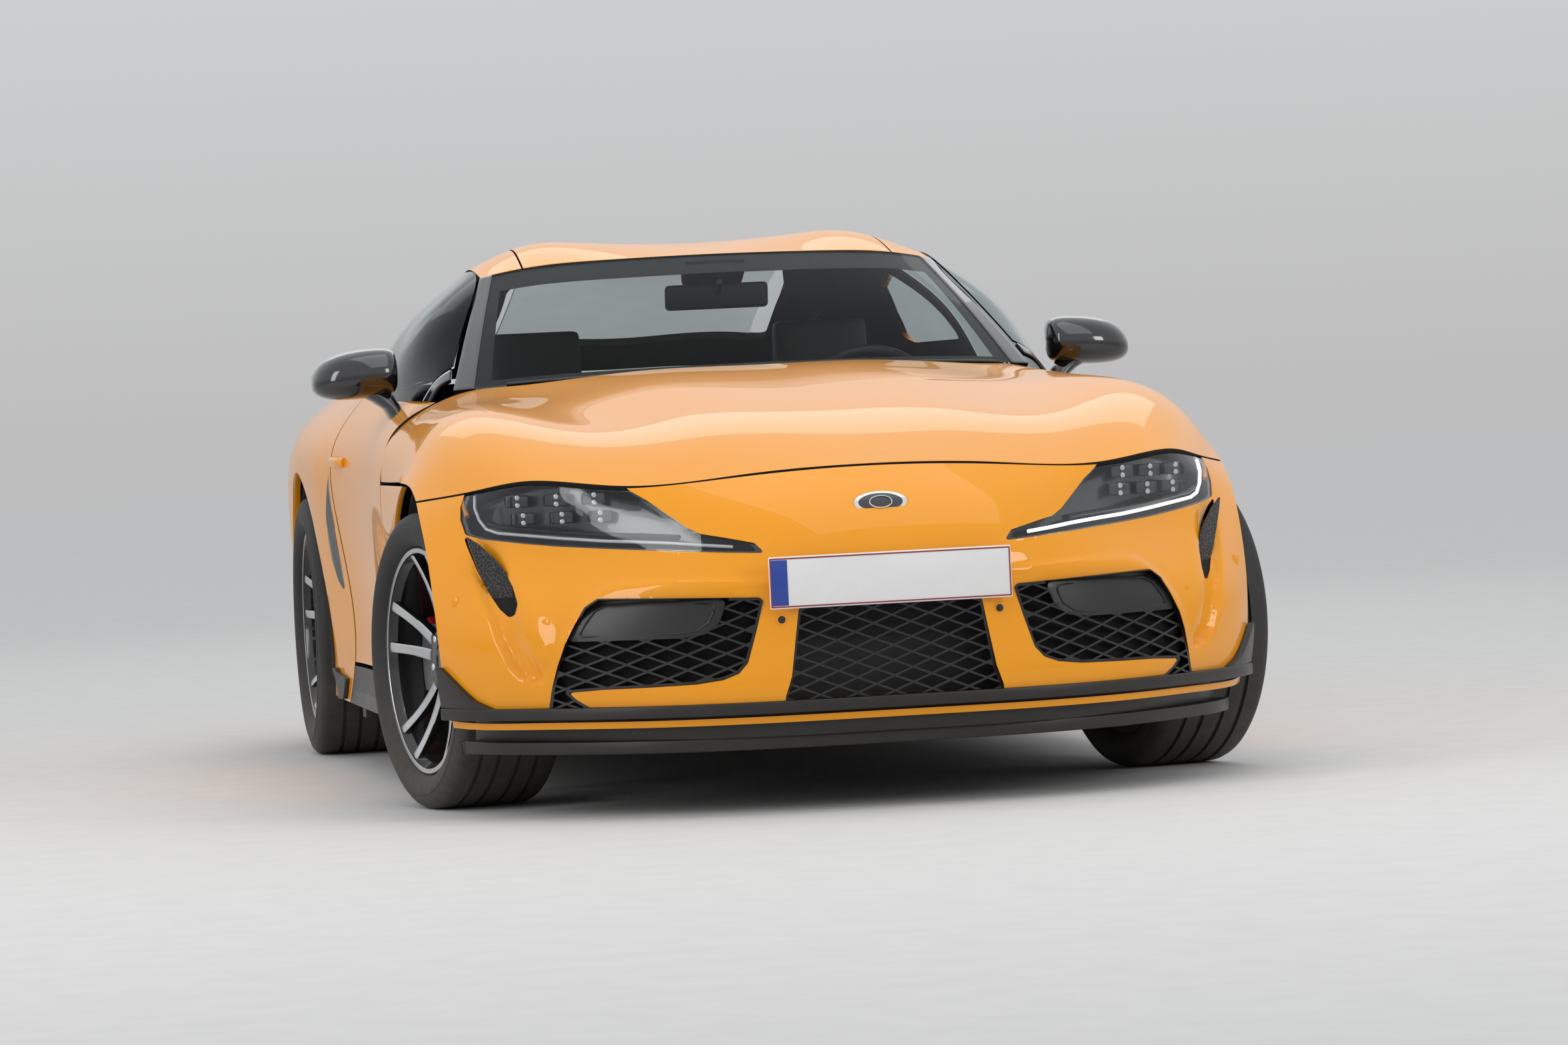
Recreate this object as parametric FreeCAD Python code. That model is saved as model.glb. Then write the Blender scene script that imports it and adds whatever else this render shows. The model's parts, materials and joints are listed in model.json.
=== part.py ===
"""Two-seat coupe: long clamshell bonnet, set-back cabin with a double-bubble roof, wide rear
haunches and a ducktail. Millimetres, +Z up, the nose looks along -Y, +X is the car's left side.
The origin is on the ground, in the middle of the car's length and width."""

import FreeCAD, Part
import math
import os

V = FreeCAD.Vector

# Driving dimensions of the whole car
LENGTH = 4380.0
WIDTH = 1854.0
HEIGHT = 1292.0
WHEELBASE = 2470.0
FRONT_OVERHANG = 925.0
GROUND_CLEARANCE = 119.0

# Wheels and tyres: 255/35 R19 in front, 275/35 R19 behind
FRONT_TRACK = 1594.0
REAR_TRACK = 1575.0
FRONT_TYRE_RADIUS = 330.5
FRONT_TYRE_WIDTH = 255.0
REAR_TYRE_RADIUS = 337.5
REAR_TYRE_WIDTH = 275.0
RIM_RADIUS = 252.0
RIM_SEAT_RADIUS = 238.0
RIM_WALL = 7.0
BEAD_INSET = 28.0
HUB_BORE_RADIUS = 36.0
BRAKE_DISC_RADIUS = 174.0
BRAKE_DISC_THICKNESS = 34.0
DISC_PLACE = -34.0
WHEEL_FACE = 34.0
LOWER_ARM = -110.0
UPPER_ARM = 104.0
ARM_HALF = 12.0
LUG_CIRCLE_RADIUS = 56.0
LUG_COUNT = 5
SPOKE_PAIRS = 5
ARCH_RADIUS = 398.0
REAR_ARCH_RADIUS = 404.0
LINER_WALL = 4.0
PANEL_CLEARANCE = 6.0
STEER_REST_DEG = 12.0
KINGPIN_OFFSET = 62.0

# Wall thicknesses and gaps
BUMPER_SKIN = 5.0
BONNET_DEPTH = 16.0
HATCH_DEPTH = 22.0
DOOR_DEPTH = 80.0
ROOF_DEPTH = 18.0
GLASS = 5.0
SHUT_GAP = 7.0
FLOOR_THICKNESS = 24.0
REAR_PLATE = 14.0

FRONT_AXLE = -LENGTH / 2 + FRONT_OVERHANG
REAR_AXLE = FRONT_AXLE + WHEELBASE

# The section tables below are written for a car 1854 wide and 1292 high, with its nose, axles and
# tail at these places: reference station, place on this car
STATION_MARKS = ((-2190.0, -LENGTH / 2), (-1265.0, FRONT_AXLE), (1205.0, REAR_AXLE), (2190.0, LENGTH / 2))
TABLE_SCALE_X = WIDTH / 1854.0
TABLE_SCALE_Z = HEIGHT / 1292.0
FRONT_HUB = V(FRONT_TRACK / 2, FRONT_AXLE, FRONT_TYRE_RADIUS)
REAR_HUB = V(REAR_TRACK / 2, REAR_AXLE, REAR_TYRE_RADIUS)
KINGPIN_X = FRONT_TRACK / 2 - KINGPIN_OFFSET


def station(y):
    """Length position of a reference station: nose, axles and tail keep their driving dimensions."""
    marks = STATION_MARKS
    span = 0 if y <= marks[1][0] else 1 if y <= marks[2][0] else 2
    (y0, a0), (y1, a1) = marks[span:span + 2]
    return a0 + (y - y0) * (a1 - a0) / (y1 - y0)


def at(x, y, z):
    """A point of the reference car, placed by the driving dimensions."""
    return V(x * TABLE_SCALE_X, station(y), z * TABLE_SCALE_Z)


def box(x0, y0, z0, x1, y1, z1):
    """A block between two reference corners."""
    low, high = at(x0, y0, z0), at(x1, y1, z1)
    return Part.makeBox(high.x - low.x, high.y - low.y, high.z - low.z, low)


def mirrored(shape):
    """The same shape on the other side of the car."""
    return shape.mirror(V(0, 0, 0), V(1, 0, 0))


def both_sides(shape):
    """Left and right copies as one compound."""
    return Part.makeCompound([shape, mirrored(shape)])


def natural_spline(knots, values):
    """A natural cubic spline through vectors, as a function of the knot position."""
    n = len(knots)
    h = [knots[i + 1] - knots[i] for i in range(n - 1)]
    bend = [V(0, 0, 0)] * n
    ratio = [0.0] * n
    load = [V(0, 0, 0)] * n
    for i in range(1, n - 1):
        slope = (values[i + 1] - values[i]) * (1 / h[i]) - (values[i] - values[i - 1]) * (1 / h[i - 1])
        pivot = 2 * (h[i - 1] + h[i]) - h[i - 1] * ratio[i - 1]
        ratio[i] = h[i] / pivot
        load[i] = (slope * 6 - load[i - 1] * h[i - 1]) * (1 / pivot)
    for i in range(n - 2, 0, -1):
        bend[i] = load[i] - bend[i + 1] * ratio[i]

    def value(t):
        i = max(k for k in range(n - 1) if k == 0 or t >= knots[k])
        a, b = (knots[i + 1] - t) / h[i], (t - knots[i]) / h[i]
        return (values[i] * a + values[i + 1] * b
                + bend[i] * ((a**3 - a) * h[i] ** 2 / 6) + bend[i + 1] * ((b**3 - b) * h[i] ** 2 / 6))

    return value


class Patch:
    """A smooth surface through a table of points: each row is a line across the body, each column
    a line along it. Positions on it are row and column numbers, and may be fractions."""

    def __init__(self, rows, whole=False):
        """whole=True mirrors the columns about the centreline, which is then column 0."""
        points = [[at(*p) for p in row] for row in rows]
        if whole:
            points = [[V(-p.x, p.y, p.z) for p in row[:0:-1]] + row for row in points]
        self.shift = len(points[0]) // 2 if whole else 0
        self.rows = self.spaced(points)
        self.columns = self.spaced([list(column) for column in zip(*points)])
        self.splines = [natural_spline(self.columns, row) for row in points]

    @staticmethod
    def spaced(lines):
        """Knots from the mean distance between neighbouring lines."""
        knots = [0.0]
        for one, other in zip(lines[:-1], lines[1:]):
            knots.append(knots[-1] + sum((b - a).Length for a, b in zip(one, other)) / len(one))
        return knots

    @staticmethod
    def knot(knots, number):
        i = min(max(int(math.floor(number)), 0), len(knots) - 2)
        return knots[i] + (knots[i + 1] - knots[i]) * (number - i)

    def grid(self, row0, row1, column0, column1, per_row=2, per_column=2):
        """Points on the patch between two rows and two columns."""
        count_r = max(int(math.ceil((row1 - row0) * per_row)), 1) + 1
        count_c = max(int(math.ceil((column1 - column0) * per_column)), 1) + 1
        lines = []
        for j in range(count_c):
            number = column0 + (column1 - column0) * j / (count_c - 1) + self.shift
            along = natural_spline(self.rows, [s(self.knot(self.columns, number)) for s in self.splines])
            lines.append([along(self.knot(self.rows, row0 + (row1 - row0) * i / (count_r - 1)))
                          for i in range(count_r)])
        return [list(row) for row in zip(*lines)]


def pulled_in(grid, gap_row0, gap_row1, gap_column0, gap_column1):
    """The grid with each outer line moved in along the surface, to leave a shut line's gap."""
    def moved(point, towards, gap):
        step = towards - point
        return point + step * (gap / step.Length) if gap else point
    g = [row[:] for row in grid]
    g[0] = [moved(p, q, gap_row0) for p, q in zip(g[0], g[1])]
    g[-1] = [moved(p, q, gap_row1) for p, q in zip(g[-1], g[-2])]
    for row in g:
        row[0] = moved(row[0], row[1], gap_column0)
        row[-1] = moved(row[-1], row[-2], gap_column1)
    return g


def offset_grid(grid, depth):
    """The grid moved by depth along its own normals. Positive depth goes inwards on the left side."""
    rows, columns = len(grid), len(grid[0])
    moved = []
    for i in range(rows):
        line = []
        for j in range(columns):
            along = grid[min(i + 1, rows - 1)][j] - grid[max(i - 1, 0)][j]
            across = grid[i][min(j + 1, columns - 1)] - grid[i][max(j - 1, 0)]
            line.append(grid[i][j] + along.cross(across).normalize() * depth)
        moved.append(line)
    return moved


def skin_solid(outer, inner):
    """A closed wall between two grids of points of the same size."""
    faces, edges = [], []
    for grid in (outer, inner):
        surface = Part.BSplineSurface()
        surface.interpolate(grid)
        u0, u1, v0, v1 = surface.bounds()
        faces.append(surface.toShape())
        edges.append([surface.uIso(u0).toShape(), surface.uIso(u1).toShape(),
                      surface.vIso(v0).toShape(), surface.vIso(v1).toShape()])
    faces += [Part.makeRuledSurface(a, b) for a, b in zip(*edges)]
    shell = Part.makeShell(faces)
    shell.sewShape()
    return outward(Part.makeSolid(shell))


def prism(outline, direction, start, end):
    """A straight prism: outline points (a, b) lie across x, y or z, between two places along it."""
    place = {"x": lambda a, b: V(start, a, b), "y": lambda a, b: V(a, start, b),
             "z": lambda a, b: V(a, b, start)}[direction]
    along = {"x": V(end - start, 0, 0), "y": V(0, end - start, 0), "z": V(0, 0, end - start)}[direction]
    points = [place(a, b) for a, b in outline]
    return outward(Part.Face(Part.makePolygon(points + points[:1])).extrude(along))


def outward(solid):
    """The solid with its faces pointing out."""
    if solid.Volume < 0:
        solid.reverse()
    return solid


def rod(start, end, radius):
    """A round bar between two points."""
    return Part.makeCylinder(radius, (end - start).Length, start, end - start)


def revolved(profile, centre):
    """A ring or disc about the wheel's axle, which runs along X. profile holds (outboard, radius)."""
    points = [V(centre.x + x, centre.y, centre.z + r) for x, r in profile]
    return outward(Part.Face(Part.makePolygon(points + points[:1])).revolve(centre, V(1, 0, 0), 360))


def saved(name, shape):
    """Writes one node."""
    os.makedirs("parts", exist_ok=True)
    shape.exportStep("parts/" + name + ".step")


# Body surfaces. Columns of NOSE: centre, inner, lamp tip, lamp, corner, wheel arch.
# Rows run from the bumper's lower edge up to the bonnet's shut line.
NOSE = [
    [(0, -2150, 165), (250, -2142, 165), (500, -2060, 165), (705, -1890, 165), (825, -1740, 165), (875, -1627, 165)],
    [(0, -2180, 240), (245, -2174, 240), (505, -2085, 240), (718, -1905, 240), (842, -1752, 240), (890, -1655, 245)],
    [(0, -2184, 335), (250, -2172, 335), (512, -2082, 335), (728, -1912, 335), (850, -1762, 335), (899, -1663, 330)],
    [(0, -2178, 450), (262, -2160, 450), (512, -2064, 450), (730, -1892, 450), (850, -1745, 445), (905, -1647, 442)],
    [(0, -2160, 557), (262, -2137, 557), (480, -2008, 571), (700, -1806, 592), (829, -1666, 612), (910, -1566, 590)],
    [(0, -2110, 645), (262, -2085, 640), (500, -1965, 645), (705, -1800, 665), (826, -1640, 665), (912, -1505, 647)],
    [(0, -2022, 726), (262, -1994, 716), (525, -1921, 703), (700, -1800, 722), (812, -1632, 703), (911, -1443, 686)],
]
# Columns of BONNET: centre, bulge, bulge edge, wing crest, wing side, wheel arch.
BONNET = [
    NOSE[-1],
    [(0, -1780, 803), (270, -1760, 798), (520, -1705, 785), (715, -1600, 797), (838, -1485, 762), (913, -1360, 716)],
    [(0, -1450, 868), (280, -1430, 864), (540, -1380, 846), (735, -1300, 868), (856, -1262, 815), (917, -1225, 726)],
    [(0, -1120, 915), (290, -1105, 912), (560, -1075, 884), (738, -1040, 890), (862, -1035, 822), (905, -1050, 727)],
    [(0, -860, 944), (290, -842, 941), (560, -805, 907), (735, -780, 897), (866, -780, 822), (898, -800, 725)],
    [(0, -650, 957), (290, -628, 955), (560, -545, 935), (712, -452, 914), (864, -535, 822), (892, -556, 725)],
]
# Columns of SIDE: belt, shoulder, swage, waist, rocker, sill. Rows run back from the front wheel arch.
SIDE = [
    [(735, -1215, 876), (868, -1215, 822), (924, -1215, 657), (912, -1215, 420), (899, -1215, 260), (886, -1215, 166)],
    [(735, -872, 893), (866, -872, 820), (905, -872, 657), (899, -872, 420), (891, -872, 260), (886, -872, 166)],
    [(742, -452, 905), (867, -528, 819), (895, -558, 657), (868, -560, 420), (866, -560, 260), (880, -560, 162)],
    [(790, -150, 912), (870, -150, 805), (880, -150, 660), (847, -150, 420), (854, -150, 260), (878, -150, 160)],
    [(802, 250, 924), (874, 250, 805), (881, 250, 662), (845, 250, 420), (854, 250, 260), (878, 250, 160)],
    [(792, 580, 940), (887, 575, 808), (895, 560, 665), (863, 540, 420), (863, 540, 260), (880, 540, 162)],
    [(765, 800, 953), (903, 800, 815), (916, 800, 665), (897, 800, 420), (886, 800, 260), (886, 800, 167)],
    [(738, 1010, 963), (906, 1010, 825), (921, 1010, 665), (912, 1010, 420), (899, 1010, 260), (888, 1010, 170)],
    [(718, 1205, 968), (904, 1205, 832), (922, 1205, 665), (912, 1205, 420), (901, 1205, 260), (888, 1205, 170)],
    [(702, 1430, 972), (893, 1430, 836), (917, 1430, 665), (911, 1430, 420), (899, 1430, 260), (886, 1430, 172)],
    [(694, 1609, 972), (876, 1609, 840), (911, 1609, 665), (903, 1609, 420), (892, 1609, 275), (878, 1609, 195)],
    [(690, 1800, 966), (850, 1810, 842), (886, 1815, 665), (878, 1810, 430), (868, 1803, 320), (853, 1795, 250)],
    [(690, 1948, 946), (794, 1946, 846), (834, 1960, 665), (826, 1955, 440), (819, 1948, 355), (808, 1942, 296)],
]
# Columns of TAIL: centre, inner, middle, outer, corner. Rows run down from the ducktail.
TAIL = [
    [(0, 2080, 965), (300, 2070, 965), (480, 2050, 960), (610, 2012, 955), (692, 1958, 942)],
    [(0, 2092, 880), (300, 2080, 880), (520, 2048, 875), (680, 1996, 866), (794, 1950, 850)],
    [(0, 2128, 770), (300, 2116, 770), (540, 2078, 765), (720, 2018, 760), (824, 1955, 750)],
    [(0, 2168, 640), (300, 2156, 640), (550, 2118, 640), (740, 2040, 640), (834, 1960, 640)],
    [(0, 2180, 540), (300, 2168, 540), (560, 2132, 540), (745, 2048, 540), (832, 1960, 540)],
    [(0, 2178, 420), (300, 2166, 420), (560, 2122, 420), (742, 2042, 420), (826, 1955, 430)],
    [(0, 2150, 300), (300, 2138, 300), (555, 2098, 300), (732, 2025, 300), (815, 1945, 300)],
]
# Columns of ROOF: centre, bubble crest, shoulder, rail. Rows run back from the windscreen's header.
ROOF = [
    [(0, -62, 1236), (273, -36, 1233), (460, 0, 1222), (562, 30, 1205)],
    [(0, 190, 1260), (273, 200, 1281), (452, 215, 1270), (560, 225, 1229)],
    [(0, 480, 1264), (270, 490, 1284), (440, 500, 1271), (545, 505, 1223)],
    [(0, 770, 1240), (262, 775, 1261), (425, 780, 1243), (520, 790, 1191)],
    [(0, 1050, 1187), (252, 1050, 1207), (405, 1050, 1186), (492, 1050, 1133)],
    [(0, 1350, 1113), (245, 1350, 1124), (408, 1350, 1098), (476, 1350, 1056)],
    [(0, 1650, 1037), (250, 1650, 1042), (450, 1650, 1020), (520, 1650, 995)],
    [(0, 1880, 996), (280, 1880, 997), (535, 1860, 984), (610, 1845, 975)],
    [(0, 2080, 1008), (300, 2070, 1006), (560, 2030, 988), (650, 1990, 967)],
]
# Columns of SCREEN: centre, middle, outer, pillar. Rows run up from the scuttle to the header.
SCREEN = [
    [(0, -640, 942), (290, -612, 940), (540, -535, 933), (700, -448, 925)],
    [(0, -355, 1098), (282, -328, 1096), (502, -272, 1088), (632, -212, 1070)],
    ROOF[0],
]
# Columns of GLAZING: rail, middle, belt. Rows run back along the side window.
GLAZING = [
    [(702, -440, 932), (728, -432, 925), (744, -440, 906)],
    [(636, -205, 1075), (726, -205, 1008), (784, -200, 911)],
    [(566, 25, 1203), (724, 20, 1080), (797, 20, 917)],
    [(560, 235, 1229), (716, 245, 1090), (802, 250, 924)],
    [(542, 520, 1221), (702, 540, 1092), (792, 560, 938)],
    [(517, 800, 1188), (672, 800, 1080), (765, 800, 953)],
    [(492, 1050, 1133), (644, 1020, 1062), (738, 1010, 963)],
    [(477, 1350, 1056), (602, 1340, 1022), (710, 1330, 970)],
    [(498, 1640, 997), (592, 1615, 990), (694, 1600, 972)],
    [(586, 1830, 976), (640, 1815, 973), (690, 1800, 966)],
    [(652, 1985, 965), (668, 1968, 957), (690, 1948, 946)],
]

# The mirror housing's upright ellipses, from its foot outwards: x, y, z, half depth, half height
MIRROR_SECTIONS = [(808, -180, 984, 60, 56), (830, -180, 984, 78, 60), (900, -176, 981, 86, 60),
                   (965, -168, 973, 76, 50), (1003, -158, 966, 46, 32)]
MIRROR_GLASS_Y = -118
MIRROR_FOOT = [(796, 880), (836, 880), (846, 908), (880, 930), (880, 950), (832, 950), (800, 916)]

# Outlines in front view (x, z)
LAMP_OUTLINE = [(257, 551), (277, 573), (331, 586), (382, 597), (406, 611), (440, 640), (476, 671), (506, 692),
                (530, 714), (540, 745), (792, 745), (820, 708), (835, 672), (838, 645), (832, 612), (803, 602),
                (715, 588), (650, 580), (560, 572), (430, 562), (330, 555)]
CENTRE_INTAKE = [(-196, 438), (196, 438), (220, 290), (240, 232), (-240, 232), (-220, 290)]
SIDE_INTAKE = [(270, 452), (278, 459), (440, 465), (600, 470), (627, 452), (649, 416), (670, 375), (685, 331), (696, 284),
               (704, 232), (612, 232), (634, 246), (650, 257), (664, 272), (598, 277), (510, 279), (415, 282), (360, 289),
               (328, 301), (308, 323), (296, 360), (284, 399)]
COVER_OUTLINE = [(340, 463), (600, 469), (627, 451), (649, 416), (668, 380), (440, 380), (392, 386), (362, 408)]
VENT_OUTLINE = [(836, 610), (813, 592), (787, 562), (766, 532), (755, 498), (751, 462), (757, 440), (768, 434),
                (783, 452), (801, 490), (818, 539), (831, 585)]
TAIL_LAMP_OUTLINE = [(430, 852), (600, 856), (760, 842), (792, 808), (772, 778), (600, 800), (470, 818)]
# Outlines in side view (y, z)
QUARTER_WINDOW = [(590, 1005), (600, 1185), (760, 1150), (900, 1085), (1010, 1020), (960, 1003)]
SIDE_SLOT = [(597, 745), (616, 700), (640, 640), (652, 580), (648, 520), (632, 470), (610, 440), (600, 480),
             (606, 560), (604, 650)]
WINGLET = [(-1850, 236), (-1650, 236), (-1650, 322), (-1672, 330), (-1716, 300), (-1768, 258), (-1806, 241)]
# Outline in plan (x, y)
HATCH_WINDOW = [(-330, 850), (330, 850), (380, 1100), (400, 1560), (-400, 1560), (-380, 1100)]


def scaled(outline, along="x"):
    """A reference outline placed by the driving dimensions. along names its first axis."""
    return [((at(a, 0, b).x, at(a, 0, b).z) if along == "x" else (at(0, a, b).y, at(0, a, b).z))
            for a, b in outline]


def arch_cut(hub, radius):
    """The round wheel opening of one side, from the inner wall of the wheel house outwards."""
    return Part.makeCylinder(radius, WIDTH, V(hub.x * 0.6, hub.y, hub.z), V(1, 0, 0))


def panel(patch, rows, columns, depth, gaps=(0, 0, 0, 0), taper=(0, 0, 0, 0), per=(2, 2)):
    """A wall cut out of a patch. rows and columns give its first and last lines. gaps and taper
    move its edges in, on both faces or on the inner face alone: first row, last row, first
    column, last column."""
    grid = patch.grid(rows[0], rows[1], columns[0], columns[1], *per)
    outer = pulled_in(grid, *gaps)
    inner = pulled_in(offset_grid(outer, depth), *taper)
    return skin_solid(outer, inner)


def layer(patch, rows, columns, top, bottom, per=(2, 2)):
    """The layer between two depths under a patch."""
    grid = patch.grid(rows[0], rows[1], columns[0], columns[1], *per)
    return skin_solid(offset_grid(grid, top), offset_grid(grid, bottom))


def front_prism(outline, y0=-2390, y1=-1300, grow=0.0):
    """A prism through the front of the car from an outline in front view."""
    return grown_prism(scaled(outline), "y", station(y0), station(y1), grow)


def grown_prism(outline, direction, start, end, grow):
    """A prism whose outline is first grown outwards by a margin."""
    solid = prism(outline, direction, start, end)
    if not grow:
        return solid
    flat = next(f for f in solid.Faces if abs(getattr(f.CenterOfMass, direction) - start) < 1e-6)
    wire = flat.OuterWire.makeOffset2D(grow)
    along = {"x": V(end - start, 0, 0), "y": V(0, end - start, 0), "z": V(0, 0, end - start)}[direction]
    return outward(Part.Face(wire).extrude(along))


nose = Patch(NOSE, whole=True)
bonnet = Patch(BONNET, whole=True)
side = Patch(SIDE)
tail = Patch(TAIL, whole=True)
roof = Patch(ROOF, whole=True)
screen = Patch(SCREEN, whole=True)
glazing = Patch(GLAZING)

HALF = SHUT_GAP / 2
SEAT_GAP = 0.3
HINGE_PIN_RADIUS = 5.0
BONNET_PIVOT = at(704, -430, 920)
HATCH_PIVOT = at(262, 775, 1262)
lamp_cuts = both_sides(front_prism(LAMP_OUTLINE))
intake_cuts = [front_prism(CENTRE_INTAKE), front_prism(SIDE_INTAKE), mirrored(front_prism(SIDE_INTAKE))]
vent_cuts = both_sides(front_prism(VENT_OUTLINE))


def front_bumper():
    """The painted nose with its lamp, grille and vent openings, and the chin strip below the splitter."""
    skin = panel(nose, (1, 6), (-5, 5), BUMPER_SKIN, gaps=(0, HALF + 1.5, 0, 0))
    skin = skin.cut(box(-1000, -2300, 140, 1000, -1500, 240))
    chin = panel(nose, (0.33, 0.8), (-4.9, 4.9), BUMPER_SKIN)
    chin = chin.cut(box(-1000, -2300, 214, 1000, -1500, 400).translated(V(0, 0, -SEAT_GAP)))
    return Part.makeCompound([biggest(skin.cut([lamp_cuts, vent_cuts] + intake_cuts)), biggest(chin)])


def lattice(outline, pitch=(80.0, 32.0), bar=4.5, edge=6.0):
    """A rim that fits an intake's opening with crossed bars inside it, as one flat face: the opening
    less a diamond for every mesh."""
    points = [V(x, 0, z) for x, z in scaled(outline)]
    opening = Part.makePolygon(points + points[:1])
    whole = Part.Face(opening.makeOffset2D(-SEAT_GAP))
    inside = Part.Face(opening.makeOffset2D(-edge))
    bound = whole.BoundBox
    slope = math.atan2(pitch[1], pitch[0])
    half_x, half_z = pitch[0] / 2 - bar / 2 / math.sin(slope), pitch[1] / 2 - bar / 2 / math.cos(slope)
    meshes = []
    for row in range(int(2 * bound.ZLength / pitch[1]) + 2):
        for column in range(int(bound.XLength / pitch[0]) + 2):
            x = bound.XMin + (column + 0.5 * (row % 2)) * pitch[0]
            z = bound.ZMin + row * pitch[1] / 2
            ends = [V(x - half_x, 0, z), V(x, 0, z - half_z), V(x + half_x, 0, z), V(x, 0, z + half_z)]
            hole = Part.Face(Part.makePolygon(ends + ends[:1])).common(inside)
            meshes += [f for f in hole.Faces if f.Area > 60]
    return whole.cut(meshes)


def plan_wall(row, columns, front, back, low, high):
    """An upright wall that follows the nose in plan, between two depths and two heights."""
    line = nose.grid(row, row + 0.1, columns[0], columns[1])[0]
    faces = []
    for depth in (front, back):
        moved = []
        for i, p in enumerate(line):
            along = line[min(i + 1, len(line) - 1)] - line[max(i - 1, 0)]
            along = V(along.x, along.y, 0).normalize()
            moved.append((p.x - along.y * depth, p.y + along.x * depth))
        faces.append(moved)
    return prism(faces[0] + faces[1][::-1], "z", at(0, 0, low).z, at(0, 0, high).z)


def grilles():
    """Crossed bars in each intake, a cover over the side intakes' upper part, and plates in the corner vents."""
    wall = {"centre": plan_wall(2, (-1.3, 1.3), 8, 20, 240, 480), "side": plan_wall(2, (0.8, 3.3), 4, 16, 240, 500),
            "vent": plan_wall(3.4, (3, 4.7), 1, 12, 400, 640)}
    solids = []
    for name, outline in (("centre", CENTRE_INTAKE), ("side", SIDE_INTAKE)):
        face = lattice(outline)
        face.translate(V(0, station(-2240), 0))
        bars = outward(face.extrude(V(0, station(-1500) - station(-2240), 0)))
        mesh = wall[name].common(bars)
        if name == "side":
            mesh = mesh.fuse(plan_wall(2, (0.8, 3.3), 1, 8, 300, 500).common(front_prism(COVER_OUTLINE)))
            mesh = mesh.common(front_prism(SIDE_INTAKE, grow=-SEAT_GAP))
            solids.append(mirrored(mesh))
        solids.append(mesh)
    vent = wall["vent"].common(front_prism(VENT_OUTLINE, grow=-SEAT_GAP))
    solids += [vent, mirrored(vent)]
    return Part.makeCompound([s for c in solids for s in c.Solids])


def headlamp(top, bottom, grow, last_row):
    """One headlamp's layer: its lens, or the housing behind it."""
    shell = layer(nose, (2.8, last_row), (0.8, 5), top, bottom)
    return shell.common(front_prism(LAMP_OUTLINE, grow=grow)).Solids[0]


def splitter():
    """The black lip under the bumper with a winglet at each corner, on a riser from the undertray."""
    top, under = at(0, 0, 240).z - SEAT_GAP, at(0, 0, 214).z
    edge = nose.grid(1, 1.1, -5, 5)[0]
    back = station(-1650)

    def band(outer, inner, low, high):
        """A level band that follows the nose, between two distances from its edge."""
        lines = [[(p.x * (1 + out / 900), p.y - out / 2) for p in edge] for out in (outer, inner)]
        ring = prism(lines[0] + lines[1][::-1], "z", low, high)
        return ring.cut(Part.makeBox(WIDTH, LENGTH, HEIGHT, V(-WIDTH / 2, back, 0)))

    lip, riser = band(16, -90, under, top), band(-64, -100, at(0, 0, 160).z, under + 1)
    outline = [(p.x * 0.985, p.y + 14) for p in nose.grid(0, 0.5, -5, 5)[0]]
    plate = prism(outline, "z", at(0, 0, 137).z, at(0, 0, 165).z - SEAT_GAP)
    plate = plate.cut(box(-1000, -1630, 100, 1000, -1500, 300).translated(V(0, -SEAT_GAP, 0)))
    corner = nose.grid(1, 3, 3.5, 5)
    blade = skin_solid(offset_grid(corner, -16), offset_grid(corner, -2))
    blade = biggest(blade.common(prism(scaled(WINGLET, "y"), "x", 500, WIDTH / 2)))
    return biggest(lip.fuse([riser, plate, blade, mirrored(blade)]))


def floor_pan():
    """The flat floor, narrow between the front wheels and between the rear wheels."""
    half = [(470, -1630), (470, -862), (796, -862), (796, 800), (600, 800), (600, 1620)]
    outline = [(at(x, y, 0).x, station(y)) for x, y in half]
    outline += [(-x, y) for x, y in reversed(outline)]
    return prism(outline, "z", GROUND_CLEARANCE, GROUND_CLEARANCE + FLOOR_THICKNESS)


def under_bonnet():
    """The front rails, crash beam and inner wheel house walls."""
    rail = box(395, -2030, 360, 470, -700, 460)
    wall = box(470, -1600, 190, 484, -905, 700)
    return rail.fuse([mirrored(rail), wall, mirrored(wall), box(-470, -2050, 365, 470, -2030, 455),
                      box(-470, -1130, 195, 470, -1060, 229.7)]).removeSplitter()


def cowl():
    """The firewall with the shelf that the windscreen stands on."""
    line = screen.grid(0, 0.1, -2.95, 2.95)[0]
    top = [V(p.x, p.y + 10, p.z - 10) for p in line]
    foot = at(0, 0, 800).z + SEAT_GAP
    wall = skin_solid([top, [V(p.x, p.y, foot) for p in top]], [[V(p.x, p.y + 8, p.z) for p in top],
                      [V(p.x, p.y + 8, foot) for p in top]])
    return Part.makeCompound([box(-615, -700, 143, 615, -660, 785).fuse(box(-700, -700, 785, 700, -425, 800)), wall])


def front_fender():
    """The panel between the front wheel and the door, with the pillar that carries the hinges."""
    skin = panel(side, (0, 2), (1.62, 4), 14, gaps=(0, HALF, SHUT_GAP, SEAT_GAP)).cut(arch_cut(FRONT_HUB, ARCH_RADIUS))
    pillar = box(615.3, -690, 243.3, 796, -575, 640)
    outer = box(796, -690, 268, 860, -575, 640)
    brace = box(615.3, -690, 640, 700, -575, 784)
    return skin.fuse([pillar, outer, brace])


def rocker():
    """The sill beam with its skirt and two jacking pads."""
    skirt = panel(side, (0.93, 5), (4, 5), 56, gaps=(0, HALF, HALF + 3, 0)).cut(arch_cut(FRONT_HUB, ARCH_RADIUS))
    beam = [box(705, -860, 143.3, 800, 535, 243), box(705, 530, 143.3, 792, 800, 243),
            box(795, -860, 180, 842, 530, 238)]
    pads = [box(804, y - 35, 125, 852, y + 35, 200) for y in (-620, 480)]
    return skirt.fuse(beam + pads)


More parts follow.
